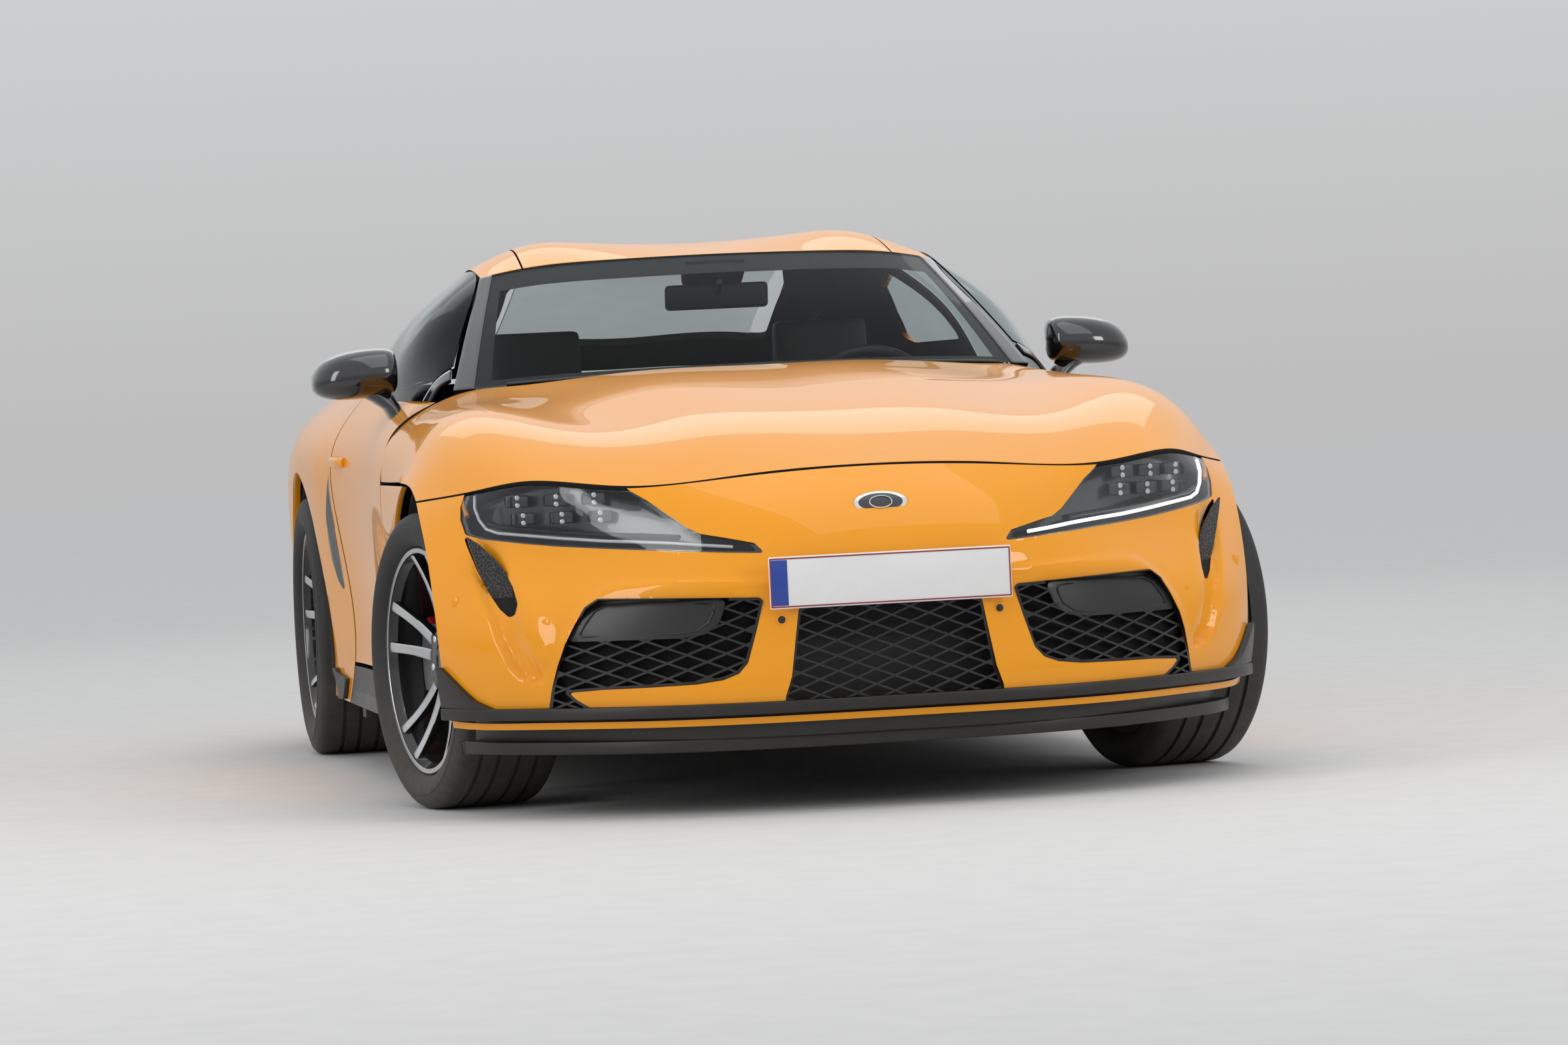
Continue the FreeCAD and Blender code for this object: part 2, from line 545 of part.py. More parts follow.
def pillar_rail():
    """The windscreen pillar with the bonnet's hinge pin, and the rail over the door, down to the tail."""
    post = panel(screen, (0.04, 2), (2.7, 3), 26, gaps=(0, SEAT_GAP, SEAT_GAP, 0))
    post = post.fuse(rod(BONNET_PIVOT - V(12, 0, 0), BONNET_PIVOT + V(12, 0, 0), HINGE_PIN_RADIUS))
    rail = panel(roof, (0, 7.85), (2, 3), 30, gaps=(0, 0, SEAT_GAP, SEAT_GAP), taper=(0, 0, 12, 20))
    return [post, rail]


def quarter(rail):
    """The rear wing with its wheel arch and the dark slot behind the door, up to the rail, with the
    small side window's opening."""
    lower = panel(side, (5, 12), (0, 5), 30, gaps=(HALF, SEAT_GAP, SEAT_GAP, 0), taper=(0, 34, 0, 0))
    slot = layer(side, (5, 6.3), (0.8, 3.2), -8, 20).common(prism(scaled(SIDE_SLOT, "y"), "x", 700, 1000))
    lower = lower.cut([arch_cut(REAR_HUB, REAR_ARCH_RADIUS), slot])
    upper = panel(glazing, (4, 10), (0, 2), 20, gaps=(HALF, 1, SEAT_GAP, SEAT_GAP), taper=(0, 0, 24, 0))
    window = prism(scaled(QUARTER_WINDOW, "y"), "x", 300, 1000)
    return [lower, biggest(upper.cut([window, rail, lower]))]


def door():
    """The whole door below its window: outer skin to inner trim."""
    return panel(side, (2, 5), (0, 4), DOOR_DEPTH, gaps=(HALF, HALF, 0, HALF), taper=(8, 25, 0, 0))


def door_glass(slab):
    """The frameless side window, standing on the door."""
    return biggest(panel(glazing, (0.42, 4), (0, 2), GLASS, gaps=(0, HALF, SHUT_GAP, 0)).cut(slab))


def mirror(slab, pane):
    """The door mirror on its foot, and the small panel that fills the corner in front of the glass."""
    wires = []
    for x, y, z, half_y, half_z in MIRROR_SECTIONS:
        centre = at(x, y, z)
        ring = Part.Ellipse(centre + V(0, half_y, 0), centre + V(0, 0, half_z), centre)
        wires.append(Part.Wire(ring.toShape()))
    shell = Part.makeLoft(wires, True, False).cut(box(700, MIRROR_GLASS_Y, 800, 1100, -100, 1100))
    foot = prism(scaled(MIRROR_FOOT), "y", station(-222), station(-160))
    sail = panel(glazing, (0.2, 0.40), (0.2, 2), 14).cut([slab, pane])
    return Part.makeCompound([biggest(shell.fuse(foot).cut([slab, pane])), biggest(sail)])


def seats():
    """Two bucket seats with side bolsters, on runners."""
    profile = [(-60, 250), (-70, 340), (20, 372), (330, 330), (430, 560), (520, 820), (505, 900), (540, 1075),
               (600, 1065), (615, 880), (560, 640), (500, 330), (450, 240)]
    solids = []
    for x in (-370, 370):
        core = prism(scaled(profile, "y"), "x", at(x - 190, 0, 0).x, at(x + 190, 0, 0).x)
        head = box(x - 250, 400, 850, x - 120, 700, 1100), box(x + 120, 400, 850, x + 250, 700, 1100)
        core = core.cut(head[0]).cut(head[1])
        bolster = [(-40, 300), (20, 410), (340, 400), (440, 640), (545, 850), (590, 700), (500, 330)]
        wings = [prism(scaled(bolster, "y"), "x", at(a, 0, 0).x, at(b, 0, 0).x)
                 for a, b in ((x - 245, x - 190), (x + 190, x + 245))]
        runners = [box(x + s - 18, -20, 143.3, x + s + 18, 430, 252) for s in (-140, 140)]
        solids.append(core.fuse(wings + runners))
    return Part.makeCompound(solids)


def dashboard():
    """The dash top with the instrument hood, and the console between the seats."""
    profile = [(-659.7, 560), (-659.7, 784.7), (-424, 784.7), (-424, 868), (-260, 905), (-150, 885), (-130, 800),
               (-200, 700), (-330, 560)]
    dash = prism(scaled(profile, "y"), "x", at(-600, 0, 0).x, at(600, 0, 0).x)
    console = prism(scaled([(-600, 143.3), (-600, 600), (-260, 600), (-60, 480), (380, 440), (380, 143.3)], "y"),
                    "x", at(-110, 0, 0).x, at(110, 0, 0).x)
    return dash.fuse(console)


def steering_wheel():
    """A round rim with three spokes on its column."""
    centre, tilt = at(370, -20, 815), V(0, -math.cos(math.radians(22)), -math.sin(math.radians(22)))
    rim = Part.makeTorus(178, 15, centre, tilt)
    spokes = []
    for angle in (0, 180, 270):
        arm = Part.makeBox(168, 16, 34, V(0, -8, -17))
        arm.rotate(V(0, 0, 0), V(0, 1, 0), -angle)
        arm.rotate(V(0, 0, 0), V(1, 0, 0), -22)
        arm.translate(centre)
        spokes.append(arm)
    hub = rod(centre - tilt * 22, centre + tilt * 30, 48)
    column = biggest(rod(centre + tilt * 28, centre + tilt * 220, 26).cut(dashboard()))
    return rim.fuse(spokes + [hub, column])


def luggage_deck(wing):
    """The deck under the tailgate, the cabin's rear wall and the rear inner wheel house walls."""
    wall = box(600, 801, 119, 615, 1690, 620)
    deck = box(-600, 640, 600, 600, 1930, 620)
    back = box(-700, 622, 143.3, 700, 640, 620)
    wings = box(-860, 622, 270, 860, 640, 620).cut(wing + [mirrored(w) for w in wing])
    return deck.fuse([wall, mirrored(wall), back, biggest(wings)])


def wheel_liner(hub, inner, outer, radius):
    """A half ring over one wheel, from its inner wall out to the wing."""
    ring = revolved([(inner - hub.x, radius - LINER_WALL), (outer - hub.x, radius - LINER_WALL),
                     (outer - hub.x, radius), (inner - hub.x, radius)], hub)
    low = V(inner - 10, hub.y - radius - 10, -radius)
    return ring.cut(Part.makeBox(outer - inner + 20, 2 * radius + 20, hub.z + radius * 0.7, low))


def tyre(hub, radius, width):
    """A tyre: bead, bulged walls and flat tread. Sections are (outboard, radius)."""
    bead, wall, tread = width / 2 - BEAD_INSET, width / 2, width / 2 - 20
    middle = (RIM_SEAT_RADIUS + radius) / 2
    seat, flange = RIM_SEAT_RADIUS + SEAT_GAP, RIM_RADIUS + 1
    return revolved([(-bead, seat), (-bead, flange), (-wall, middle), (-tread, radius), (tread, radius),
                     (wall, middle), (bead, flange), (bead, seat)], hub)


def rim(hub, width):
    """The rim's barrel with its pairs of spokes, dished towards the hub, and its five bolts."""
    seat = width / 2 - BEAD_INSET + SEAT_GAP
    inner = RIM_SEAT_RADIUS - RIM_WALL
    barrel = revolved([(-seat - 6, RIM_SEAT_RADIUS), (-seat - 6, inner), (seat + 7, inner), (seat + 7, RIM_RADIUS),
                       (seat, RIM_RADIUS), (seat, RIM_SEAT_RADIUS)], hub)
    centre = revolved([(WHEEL_FACE, HUB_BORE_RADIUS), (WHEEL_FACE, 82), (58, 78), (66, HUB_BORE_RADIUS)], hub)
    spokes, bolts = [], []
    for k in range(SPOKE_PAIRS):
        for lean in (-1, 1):
            start, end = lean * 20, lean * 46
            outline = [(start - 13, 66), (start + 13, 66), (end + 11, inner + 3), (end - 11, inner + 3)]
            bar = prism([(hub.y + a, hub.z + b) for a, b in outline], "x", hub.x + 20, hub.x + seat + 3)
            bar.rotate(hub, V(1, 0, 0), 360.0 / SPOKE_PAIRS * k)
            spokes.append(bar)
    for k in range(LUG_COUNT):
        bolt = rod(hub + V(50, 0, LUG_CIRCLE_RADIUS), hub + V(69, 0, LUG_CIRCLE_RADIUS), 9)
        bolt.rotate(hub, V(1, 0, 0), 360.0 / LUG_COUNT * (k + 0.5))
        bolts.append(bolt)
    dish = revolved([(36, 40), (56, 150), (seat - 22, inner + 5), (seat + 2, inner + 5), (60, 60), (60, 40)], hub)
    spokes = [s.common(dish) for s in spokes]
    return barrel.fuse(spokes + bolts + [centre])


def brake_disc(hub):
    """A brake disc with its bell, bored for the hub. Its inboard face is DISC_PLACE from the wheel's middle."""
    outer = DISC_PLACE + BRAKE_DISC_THICKNESS
    return revolved([(DISC_PLACE, 64), (DISC_PLACE, BRAKE_DISC_RADIUS), (outer, BRAKE_DISC_RADIUS), (outer, 84),
                     (WHEEL_FACE - SEAT_GAP, 80), (WHEEL_FACE - SEAT_GAP, HUB_BORE_RADIUS),
                     (WHEEL_FACE - 10, HUB_BORE_RADIUS), (WHEEL_FACE - 10, 64)], hub)


def knuckle(hub):
    """The upright with its kingpin, its spindle and the brake caliper over the disc."""
    spindle = HUB_BORE_RADIUS - SEAT_GAP
    upright = revolved([(-118, 0), (-118, 54), (-56, 54), (-46, spindle), (WHEEL_FACE + 24, spindle),
                        (WHEEL_FACE + 24, 0)], hub)
    pin = V(hub.x - KINGPIN_OFFSET, hub.y, hub.z)
    post = rod(pin + V(0, 0, LOWER_ARM + ARM_HALF + SEAT_GAP), pin + V(0, 0, UPPER_ARM - ARM_HALF - SEAT_GAP), 13)
    inboard = DISC_PLACE - 6 - 20
    outboard = DISC_PLACE + BRAKE_DISC_THICKNESS + 6 + 24
    block = Part.makeBox(outboard - inboard, 130, 150, V(hub.x + inboard, hub.y + 92, hub.z - 75))
    slot = Part.makeCylinder(BRAKE_DISC_RADIUS + 6, BRAKE_DISC_THICKNESS + 12, V(hub.x + DISC_PLACE - 6, hub.y, hub.z),
                             V(1, 0, 0))
    bore = Part.makeCylinder(RIM_SEAT_RADIUS - RIM_WALL - 8, 200, hub - V(100, 0, 0), V(1, 0, 0))
    caliper = block.common(bore).cut(slot)
    arm = Part.makeBox(22, 150, 60, V(hub.x + inboard - 22, hub.y, hub.z - 30))
    return upright.fuse([post, arm, caliper])


def steered(shape):
    """The shape turned about its kingpin to the resting steering angle."""
    turned = shape.copy()
    turned.rotate(V(KINGPIN_X, FRONT_AXLE, 0), V(0, 0, 1), STEER_REST_DEG)
    return turned


def other_front(shape_maker):
    """A right front part: mirrored, then steered the same way as the left one."""
    turned = mirrored(shape_maker)
    turned.rotate(V(-KINGPIN_X, FRONT_AXLE, 0), V(0, 0, 1), STEER_REST_DEG)
    return turned


def suspension():
    """Wishbones in front, links behind with the rear uprights."""
    solids = []
    x0 = at(484, 0, 0).x + SEAT_GAP
    for z in (LOWER_ARM, UPPER_ARM):
        height = FRONT_HUB.z + z
        plan = [(x0, FRONT_AXLE - 130), (x0, FRONT_AXLE + 130), (KINGPIN_X - 10, FRONT_AXLE + 24),
                (KINGPIN_X + 14, FRONT_AXLE + 10), (KINGPIN_X + 14, FRONT_AXLE - 10), (KINGPIN_X - 10, FRONT_AXLE - 24)]
        hollow = [(x0 + 30, FRONT_AXLE - 84), (x0 + 30, FRONT_AXLE + 84), (KINGPIN_X - 60, FRONT_AXLE)]
        arm = prism(plan, "z", height - ARM_HALF, height + ARM_HALF)
        solids.append(arm.cut(prism(hollow, "z", height - 20, height + 20)))
    x1 = at(615, 0, 0).x + SEAT_GAP
    upright = knuckle(REAR_HUB)
    links = [Part.makeBox(REAR_HUB.x - 100 - x1, 40, 24, V(x1, REAR_HUB.y + y, REAR_HUB.z + z))
             for y, z in ((-45, -40), (10, 20))]
    return solids, upright.fuse(links)


def rear_floor():
    """The black panel under the tail with its fins, and the plate that the rear bumper sits on."""
    edge = tail.grid(5.9, 6, -4, 4)[-1]
    top = min(p.z for p in edge) - SEAT_GAP
    inset = edge[-1].x - 45
    outline = [(p.x, p.y) for p in edge[1:-1]] + [(inset, station(1900)), (inset, station(1700)),
                                                 (-inset, station(1700)), (-inset, station(1900))]
    plate = prism(outline, "z", top - REAR_PLATE, top)
    fins = [box(x - 5, 1760, 200, x + 5, 2110, 292) for x in (-300, -100, 100, 300)]
    return plate.fuse(fins)


def exhaust():
    """A cross silencer with one round tip each side."""
    level = at(0, 0, 300).z - REAR_PLATE - 2 * SEAT_GAP - 50
    across, along = at(560, 0, 0).x, (station(1700), station(1960), station(2120))
    muffler = rod(V(-across, along[0], level), V(across, along[0], level), 50)
    tips = []
    for x in (-500, 500):
        x = at(x, 0, 0).x
        tip = rod(V(x, along[0], level), V(x, along[2], level), 50)
        tips.append(tip.cut(rod(V(x, along[1], level), V(x, along[2] + 50, level), 46)))
    return muffler.fuse(tips)


def plates():
    """The blank number plates at both ends on their blocks, and the blank oval badge."""
    front = box(-260, -2190, 433, 260, -2184, 542)
    block = box(-200, -2184, 440, 200, -2120, 536).cut(layer(nose, (0, 6), (-5, 5), -SEAT_GAP, 140))
    rear = box(-260, 2184, 420, 260, 2190, 530)
    back = box(-200, 2100, 426, 200, 2184, 524).cut(layer(tail, (0, 6), (-4, 4), -SEAT_GAP, 140))
    return Part.makeCompound([front.fuse(biggest(block)), rear.fuse(biggest(back))])


def biggest(shape):
    """The largest solid of a cut."""
    return max(shape.Solids, key=lambda s: s.Volume)


def bonnet_panel():
    """The clamshell bonnet with an ear round each hinge pin at its rear corners."""
    shell = panel(bonnet, (0, 5), (-5, 5), BONNET_DEPTH, gaps=(5, HALF, 0, 0))
    low, high = BONNET_PIVOT + V(2, -50, -13), BONNET_PIVOT + V(11, 11, 11)
    ear = Part.makeBox(high.x - low.x, high.y - low.y, high.z - low.z, low)
    ear = ear.cut(rod(BONNET_PIVOT, BONNET_PIVOT + V(20, 0, 0), HINGE_PIN_RADIUS + SEAT_GAP))
    return shell.fuse([ear, mirrored(ear)])


def roof_skin(rails):
    """The double-bubble roof with a hinge pin for the tailgate on each bubble's rear edge."""
    shell = biggest(panel(roof, (0, 3), (-2, 2), ROOF_DEPTH, gaps=(SEAT_GAP, HALF, 0, 0)).cut(rails))
    pin = rod(HATCH_PIVOT - V(20, 0, 0), HATCH_PIVOT + V(20, 0, 0), HALF - SEAT_GAP)
    lug = Part.makeBox(40, HALF + 4, 4, HATCH_PIVOT + V(-20, -HALF - 4, -4))
    return shell.fuse([pin.fuse(lug), mirrored(pin.fuse(lug))])


def quarter_glass():
    """The small pane set into the rear wing's window."""
    pane = layer(glazing, (4.1, 8), (0, 2), 6.0, 6.0 + GLASS)
    return biggest(pane.common(grown_prism(scaled(QUARTER_WINDOW, "y"), "x", 300, 1000, -SEAT_GAP)))


def hatch():
    """The tailgate with its glass opening and the ducktail."""
    shell = panel(roof, (3, 8), (-2, 2), HATCH_DEPTH, gaps=(HALF, 0, HALF + 1, HALF + 1), taper=(8, 10, 18, 18))
    opening = [(at(x, 0, 0).x, station(y)) for x, y in HATCH_WINDOW]
    return shell.cut(prism(opening, "z", 800, 1400))


def hatch_glass():
    """The pane set into the tailgate's opening."""
    pane = layer(roof, (3, 8), (-2, 2), 2.0, 2.0 + GLASS)
    opening = [(at(x * 0.999, 0, 0).x, station(y)) for x, y in HATCH_WINDOW]
    return pane.common(grown_prism(opening, "z", 800, 1400, -SEAT_GAP))


def tail_lamps():
    """The narrow lamps let into the tail."""
    pane = layer(tail, (0, 3), (0, 4), -2.0, 20.0)
    lens = biggest(pane.common(grown_prism(scaled(TAIL_LAMP_OUTLINE), "y", station(1850), station(2300), -0.6)))
    return both_sides(lens)


def build():
    """Makes and writes every node."""
    tail_cut = both_sides(prism(scaled(TAIL_LAMP_OUTLINE), "y", station(1850), station(2300)))
    arms, rear_upright = suspension()
    post_rail, sill, fender = pillar_rail(), rocker(), front_fender()
    rails = post_rail + [mirrored(s) for s in post_rail]
    wing = quarter(post_rail[1])
    roof_panel = roof_skin(rails)
    windscreen = panel(screen, (0, 2), (-2.7, 2.7), GLASS, gaps=(12, 0, 0, 0)).cut(rails + [roof_panel])
    left_door = door()
    left_glass = door_glass(left_door)
    left_mirror = mirror(left_door, left_glass)
    nodes = {
        "floor_pan": floor_pan(),
        "front_rails": under_bonnet(),
        "cowl": cowl(),
        "front_fenders": both_sides(fender),
        "rockers": both_sides(sill),
        "pillar_rails": Part.makeCompound(rails),
        "roof_panel": roof_panel,
        "windscreen": biggest(windscreen),
        "quarter_left": Part.makeCompound(wing),
        "quarter_right": mirrored(Part.makeCompound(wing)),
        "front_bumper": front_bumper(),
        "front_splitter": splitter(),
        "grille_mesh": grilles(),
        "headlamps": both_sides(headlamp(BUMPER_SKIN + SEAT_GAP, 45.0, -6.0, 5.4)),
        "headlamp_lenses": both_sides(headlamp(0.0, BUMPER_SKIN, -0.6, 5.83)),
        "radiator_pack": box(-380, -2020, 165, 380, -1960, 560),
        "engine_block": box(-250, -1560, 230, 250, -800, 360).fuse(box(-230, -1520, 360, 230, -840, 720)),
        "rear_bumper": panel(tail, (2.6, 6), (-4, 4), BUMPER_SKIN, gaps=(SEAT_GAP, 0, SEAT_GAP, SEAT_GAP),
                             taper=(0, 0, 6, 6)),
        "tail_panel": panel(tail, (0, 2.6), (-4, 4), BUMPER_SKIN, gaps=(HALF, SEAT_GAP, 1, 1),
                            taper=(0, 0, 6, 6)).cut(tail_cut),
        "rear_diffuser": rear_floor(),
        "tail_lamps": tail_lamps(),
        "exhaust": exhaust(),
        "seats": seats(),
        "dashboard": dashboard(),
        "steering_wheel": steering_wheel(),
        "luggage_deck": luggage_deck(wing),
        "number_plates": plates(),
        "suspension": Part.makeCompound([s for a in arms for s in (a, mirrored(a))]
                                        + [rear_upright, mirrored(rear_upright)]),
        "bonnet": bonnet_panel(),
        "quarter_glass": both_sides(quarter_glass()),
        "hatch": hatch(),
        "hatch_glass": hatch_glass(),
        "door_left": left_door,
        "door_right": mirrored(left_door),
        "door_glass_left": left_glass,
        "door_glass_right": mirrored(left_glass),
        "mirror_left": left_mirror,
        "mirror_right": mirrored(left_mirror),
    }
    front_liner = wheel_liner(FRONT_HUB, at(484, 0, 0).x + SEAT_GAP, at(885, 0, 0).x, ARCH_RADIUS - PANEL_CLEARANCE)
    rear_liner = wheel_liner(REAR_HUB, at(615, 0, 0).x + SEAT_GAP, at(895, 0, 0).x, REAR_ARCH_RADIUS - PANEL_CLEARANCE)
    nodes["wheel_liners"] = Part.makeCompound([front_liner, mirrored(front_liner), rear_liner, mirrored(rear_liner)])
    front = {"knuckle": knuckle(FRONT_HUB), "tyre": tyre(FRONT_HUB, FRONT_TYRE_RADIUS, FRONT_TYRE_WIDTH),
             "rim": rim(FRONT_HUB, FRONT_TYRE_WIDTH), "brake_disc": brake_disc(FRONT_HUB)}
    for name, shape in front.items():
        nodes[name + "_front_left"] = steered(shape)
        nodes[name + "_front_right"] = other_front(shape)
    rear = {"tyre": tyre(REAR_HUB, REAR_TYRE_RADIUS, REAR_TYRE_WIDTH), "rim": rim(REAR_HUB, REAR_TYRE_WIDTH),
            "brake_disc": brake_disc(REAR_HUB)}
    for name, shape in rear.items():
        nodes[name + "_rear_left"] = shape
        nodes[name + "_rear_right"] = mirrored(shape)
    for name, shape in nodes.items():
        saved(name, shape)
    return nodes


build()
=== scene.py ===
"""Two-seat coupe in glossy yellow-orange paint: its looks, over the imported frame.

Every sub-assembly is a class with its sizes as fields. It builds its meshes, dresses them and
gives each one to the body that carries it. Tables are in millimetres, the scene in metres."""

from __future__ import annotations

import json
import logging
import math
from dataclasses import dataclass
from enum import Enum
from typing import Callable, Sequence

import bpy
import numpy as np
from mathutils import Matrix, Vector

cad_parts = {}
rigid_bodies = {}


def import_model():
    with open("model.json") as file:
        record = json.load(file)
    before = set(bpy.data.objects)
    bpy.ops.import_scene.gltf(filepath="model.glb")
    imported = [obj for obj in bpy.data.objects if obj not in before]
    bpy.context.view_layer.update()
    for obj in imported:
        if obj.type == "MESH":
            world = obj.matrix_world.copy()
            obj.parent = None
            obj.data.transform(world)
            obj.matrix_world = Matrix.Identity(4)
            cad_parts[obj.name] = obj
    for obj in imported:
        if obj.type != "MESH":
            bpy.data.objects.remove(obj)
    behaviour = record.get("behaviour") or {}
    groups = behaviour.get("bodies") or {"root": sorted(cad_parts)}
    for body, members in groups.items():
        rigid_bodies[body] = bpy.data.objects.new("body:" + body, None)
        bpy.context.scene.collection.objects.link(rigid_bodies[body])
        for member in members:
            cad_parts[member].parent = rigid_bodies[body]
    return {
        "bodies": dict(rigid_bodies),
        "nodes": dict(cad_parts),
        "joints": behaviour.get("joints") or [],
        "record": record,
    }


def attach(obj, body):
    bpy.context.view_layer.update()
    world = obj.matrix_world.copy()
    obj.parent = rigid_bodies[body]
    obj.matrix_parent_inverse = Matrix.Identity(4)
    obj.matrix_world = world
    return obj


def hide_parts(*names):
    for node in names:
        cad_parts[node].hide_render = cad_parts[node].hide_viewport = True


LOG = logging.getLogger("coupe")
MM = 0.001
# The axles' places along the car and the tyres' radii and widths, in metres
FRONT_AXLE, REAR_AXLE = -1.265, 1.205
FRONT_TYRE, REAR_TYRE = (0.3305, 0.255), (0.3375, 0.275)
Outline = Sequence[tuple[float, float]]

# The painted surfaces as tables of points: each row is a line across the body.
NOSE = [
    [(0, -2150, 165), (250, -2142, 165), (500, -2060, 165), (705, -1890, 165), (825, -1740, 165), (875, -1627, 165)],
    [(0, -2180, 240), (245, -2174, 240), (505, -2085, 240), (718, -1905, 240), (842, -1752, 240), (890, -1655, 245)],
    [(0, -2184, 335), (250, -2172, 335), (512, -2082, 335), (728, -1912, 335), (850, -1762, 335), (899, -1663, 330)],
    [(0, -2178, 450), (262, -2160, 450), (512, -2064, 450), (730, -1892, 450), (850, -1745, 445), (905, -1647, 442)],
    [(0, -2160, 557), (262, -2137, 557), (480, -2008, 571), (700, -1806, 592), (829, -1666, 612), (910, -1566, 590)],
    [(0, -2110, 645), (262, -2085, 640), (500, -1965, 645), (705, -1800, 665), (826, -1640, 665), (912, -1505, 647)],
    [(0, -2022, 726), (262, -1994, 716), (525, -1921, 703), (700, -1800, 722), (812, -1632, 703), (911, -1443, 686)],
]
BONNET = [
    NOSE[-1],
    [(0, -1780, 803), (270, -1760, 798), (520, -1705, 785), (715, -1600, 797), (838, -1485, 762), (913, -1360, 716)],
    [(0, -1450, 868), (280, -1430, 864), (540, -1380, 846), (735, -1300, 868), (856, -1262, 815), (917, -1225, 726)],
    [(0, -1120, 915), (290, -1105, 912), (560, -1075, 884), (738, -1040, 890), (862, -1035, 822), (905, -1050, 727)],
    [(0, -860, 944), (290, -842, 941), (560, -805, 907), (735, -780, 897), (866, -780, 822), (898, -800, 725)],
    [(0, -650, 957), (290, -628, 955), (560, -545, 935), (712, -452, 914), (864, -535, 822), (892, -556, 725)],
]
SIDE = [
    [(735, -1215, 876), (868, -1215, 822), (924, -1215, 657), (912, -1215, 420), (899, -1215, 260), (886, -1215, 166)],
    [(735, -872, 893), (866, -872, 820), (905, -872, 657), (899, -872, 420), (891, -872, 260), (886, -872, 166)],
    [(742, -452, 905), (867, -528, 819), (895, -558, 657), (868, -560, 420), (866, -560, 260), (880, -560, 162)],
    [(790, -150, 912), (870, -150, 805), (880, -150, 660), (847, -150, 420), (854, -150, 260), (878, -150, 160)],
    [(802, 250, 924), (874, 250, 805), (881, 250, 662), (845, 250, 420), (854, 250, 260), (878, 250, 160)],
    [(792, 580, 940), (887, 575, 808), (895, 560, 665), (863, 540, 420), (863, 540, 260), (880, 540, 162)],
    [(765, 800, 953), (903, 800, 815), (916, 800, 665), (897, 800, 420), (886, 800, 260), (886, 800, 167)],
    [(738, 1010, 963), (906, 1010, 825), (921, 1010, 665), (912, 1010, 420), (899, 1010, 260), (888, 1010, 170)],
    [(718, 1205, 968), (904, 1205, 832), (922, 1205, 665), (912, 1205, 420), (901, 1205, 260), (888, 1205, 170)],
    [(702, 1430, 972), (893, 1430, 836), (917, 1430, 665), (911, 1430, 420), (899, 1430, 260), (886, 1430, 172)],
    [(694, 1609, 972), (876, 1609, 840), (911, 1609, 665), (903, 1609, 420), (892, 1609, 275), (878, 1609, 195)],
    [(690, 1800, 966), (850, 1810, 842), (886, 1815, 665), (878, 1810, 430), (868, 1803, 320), (853, 1795, 250)],
    [(690, 1948, 946), (794, 1946, 846), (834, 1960, 665), (826, 1955, 440), (819, 1948, 355), (808, 1942, 296)],
]
TAIL = [
    [(0, 2080, 965), (300, 2070, 965), (480, 2050, 960), (610, 2012, 955), (692, 1958, 942)],
    [(0, 2092, 880), (300, 2080, 880), (520, 2048, 875), (680, 1996, 866), (794, 1950, 850)],
    [(0, 2128, 770), (300, 2116, 770), (540, 2078, 765), (720, 2018, 760), (824, 1955, 750)],
    [(0, 2168, 640), (300, 2156, 640), (550, 2118, 640), (740, 2040, 640), (834, 1960, 640)],
    [(0, 2180, 540), (300, 2168, 540), (560, 2132, 540), (745, 2048, 540), (832, 1960, 540)],
    [(0, 2178, 420), (300, 2166, 420), (560, 2122, 420), (742, 2042, 420), (826, 1955, 430)],
    [(0, 2150, 300), (300, 2138, 300), (555, 2098, 300), (732, 2025, 300), (815, 1945, 300)],
]
ROOF = [
    [(0, -62, 1236), (273, -36, 1233), (460, 0, 1222), (562, 30, 1205)],
    [(0, 190, 1268), (273, 200, 1280), (452, 215, 1270), (560, 225, 1229)],
    [(0, 480, 1272), (270, 490, 1283), (440, 500, 1271), (545, 505, 1223)],
    [(0, 770, 1240), (262, 775, 1261), (425, 780, 1243), (520, 790, 1191)],
    [(0, 1050, 1187), (252, 1050, 1207), (405, 1050, 1186), (492, 1050, 1133)],
    [(0, 1350, 1113), (245, 1350, 1124), (408, 1350, 1098), (476, 1350, 1056)],
    [(0, 1650, 1037), (250, 1650, 1042), (450, 1650, 1020), (520, 1650, 995)],
    [(0, 1880, 996), (280, 1880, 997), (535, 1860, 984), (610, 1845, 975)],
    [(0, 2080, 1008), (300, 2070, 1006), (560, 2030, 988), (650, 1990, 967)],
]
SCREEN = [
    [(0, -640, 942), (290, -612, 940), (540, -535, 933), (700, -448, 925)],
    [(0, -355, 1098), (282, -328, 1096), (502, -272, 1088), (632, -212, 1070)],
    ROOF[0],
]
GLAZING = [
    [(702, -440, 932), (728, -432, 925), (744, -440, 906)],
    [(636, -205, 1075), (726, -205, 1008), (784, -200, 911)],
    [(566, 25, 1203), (724, 20, 1080), (797, 20, 917)],
    [(560, 235, 1229), (716, 245, 1090), (802, 250, 924)],
    [(542, 520, 1221), (702, 540, 1092), (792, 560, 938)],
    [(517, 800, 1188), (672, 800, 1080), (765, 800, 953)],
    [(492, 1050, 1133), (644, 1020, 1062), (738, 1010, 963)],
    [(477, 1350, 1056), (602, 1340, 1022), (710, 1330, 970)],
    [(498, 1640, 997), (592, 1615, 990), (694, 1600, 972)],
    [(586, 1830, 976), (640, 1815, 973), (690, 1800, 966)],
    [(652, 1985, 965), (668, 1968, 957), (690, 1948, 946)],
]
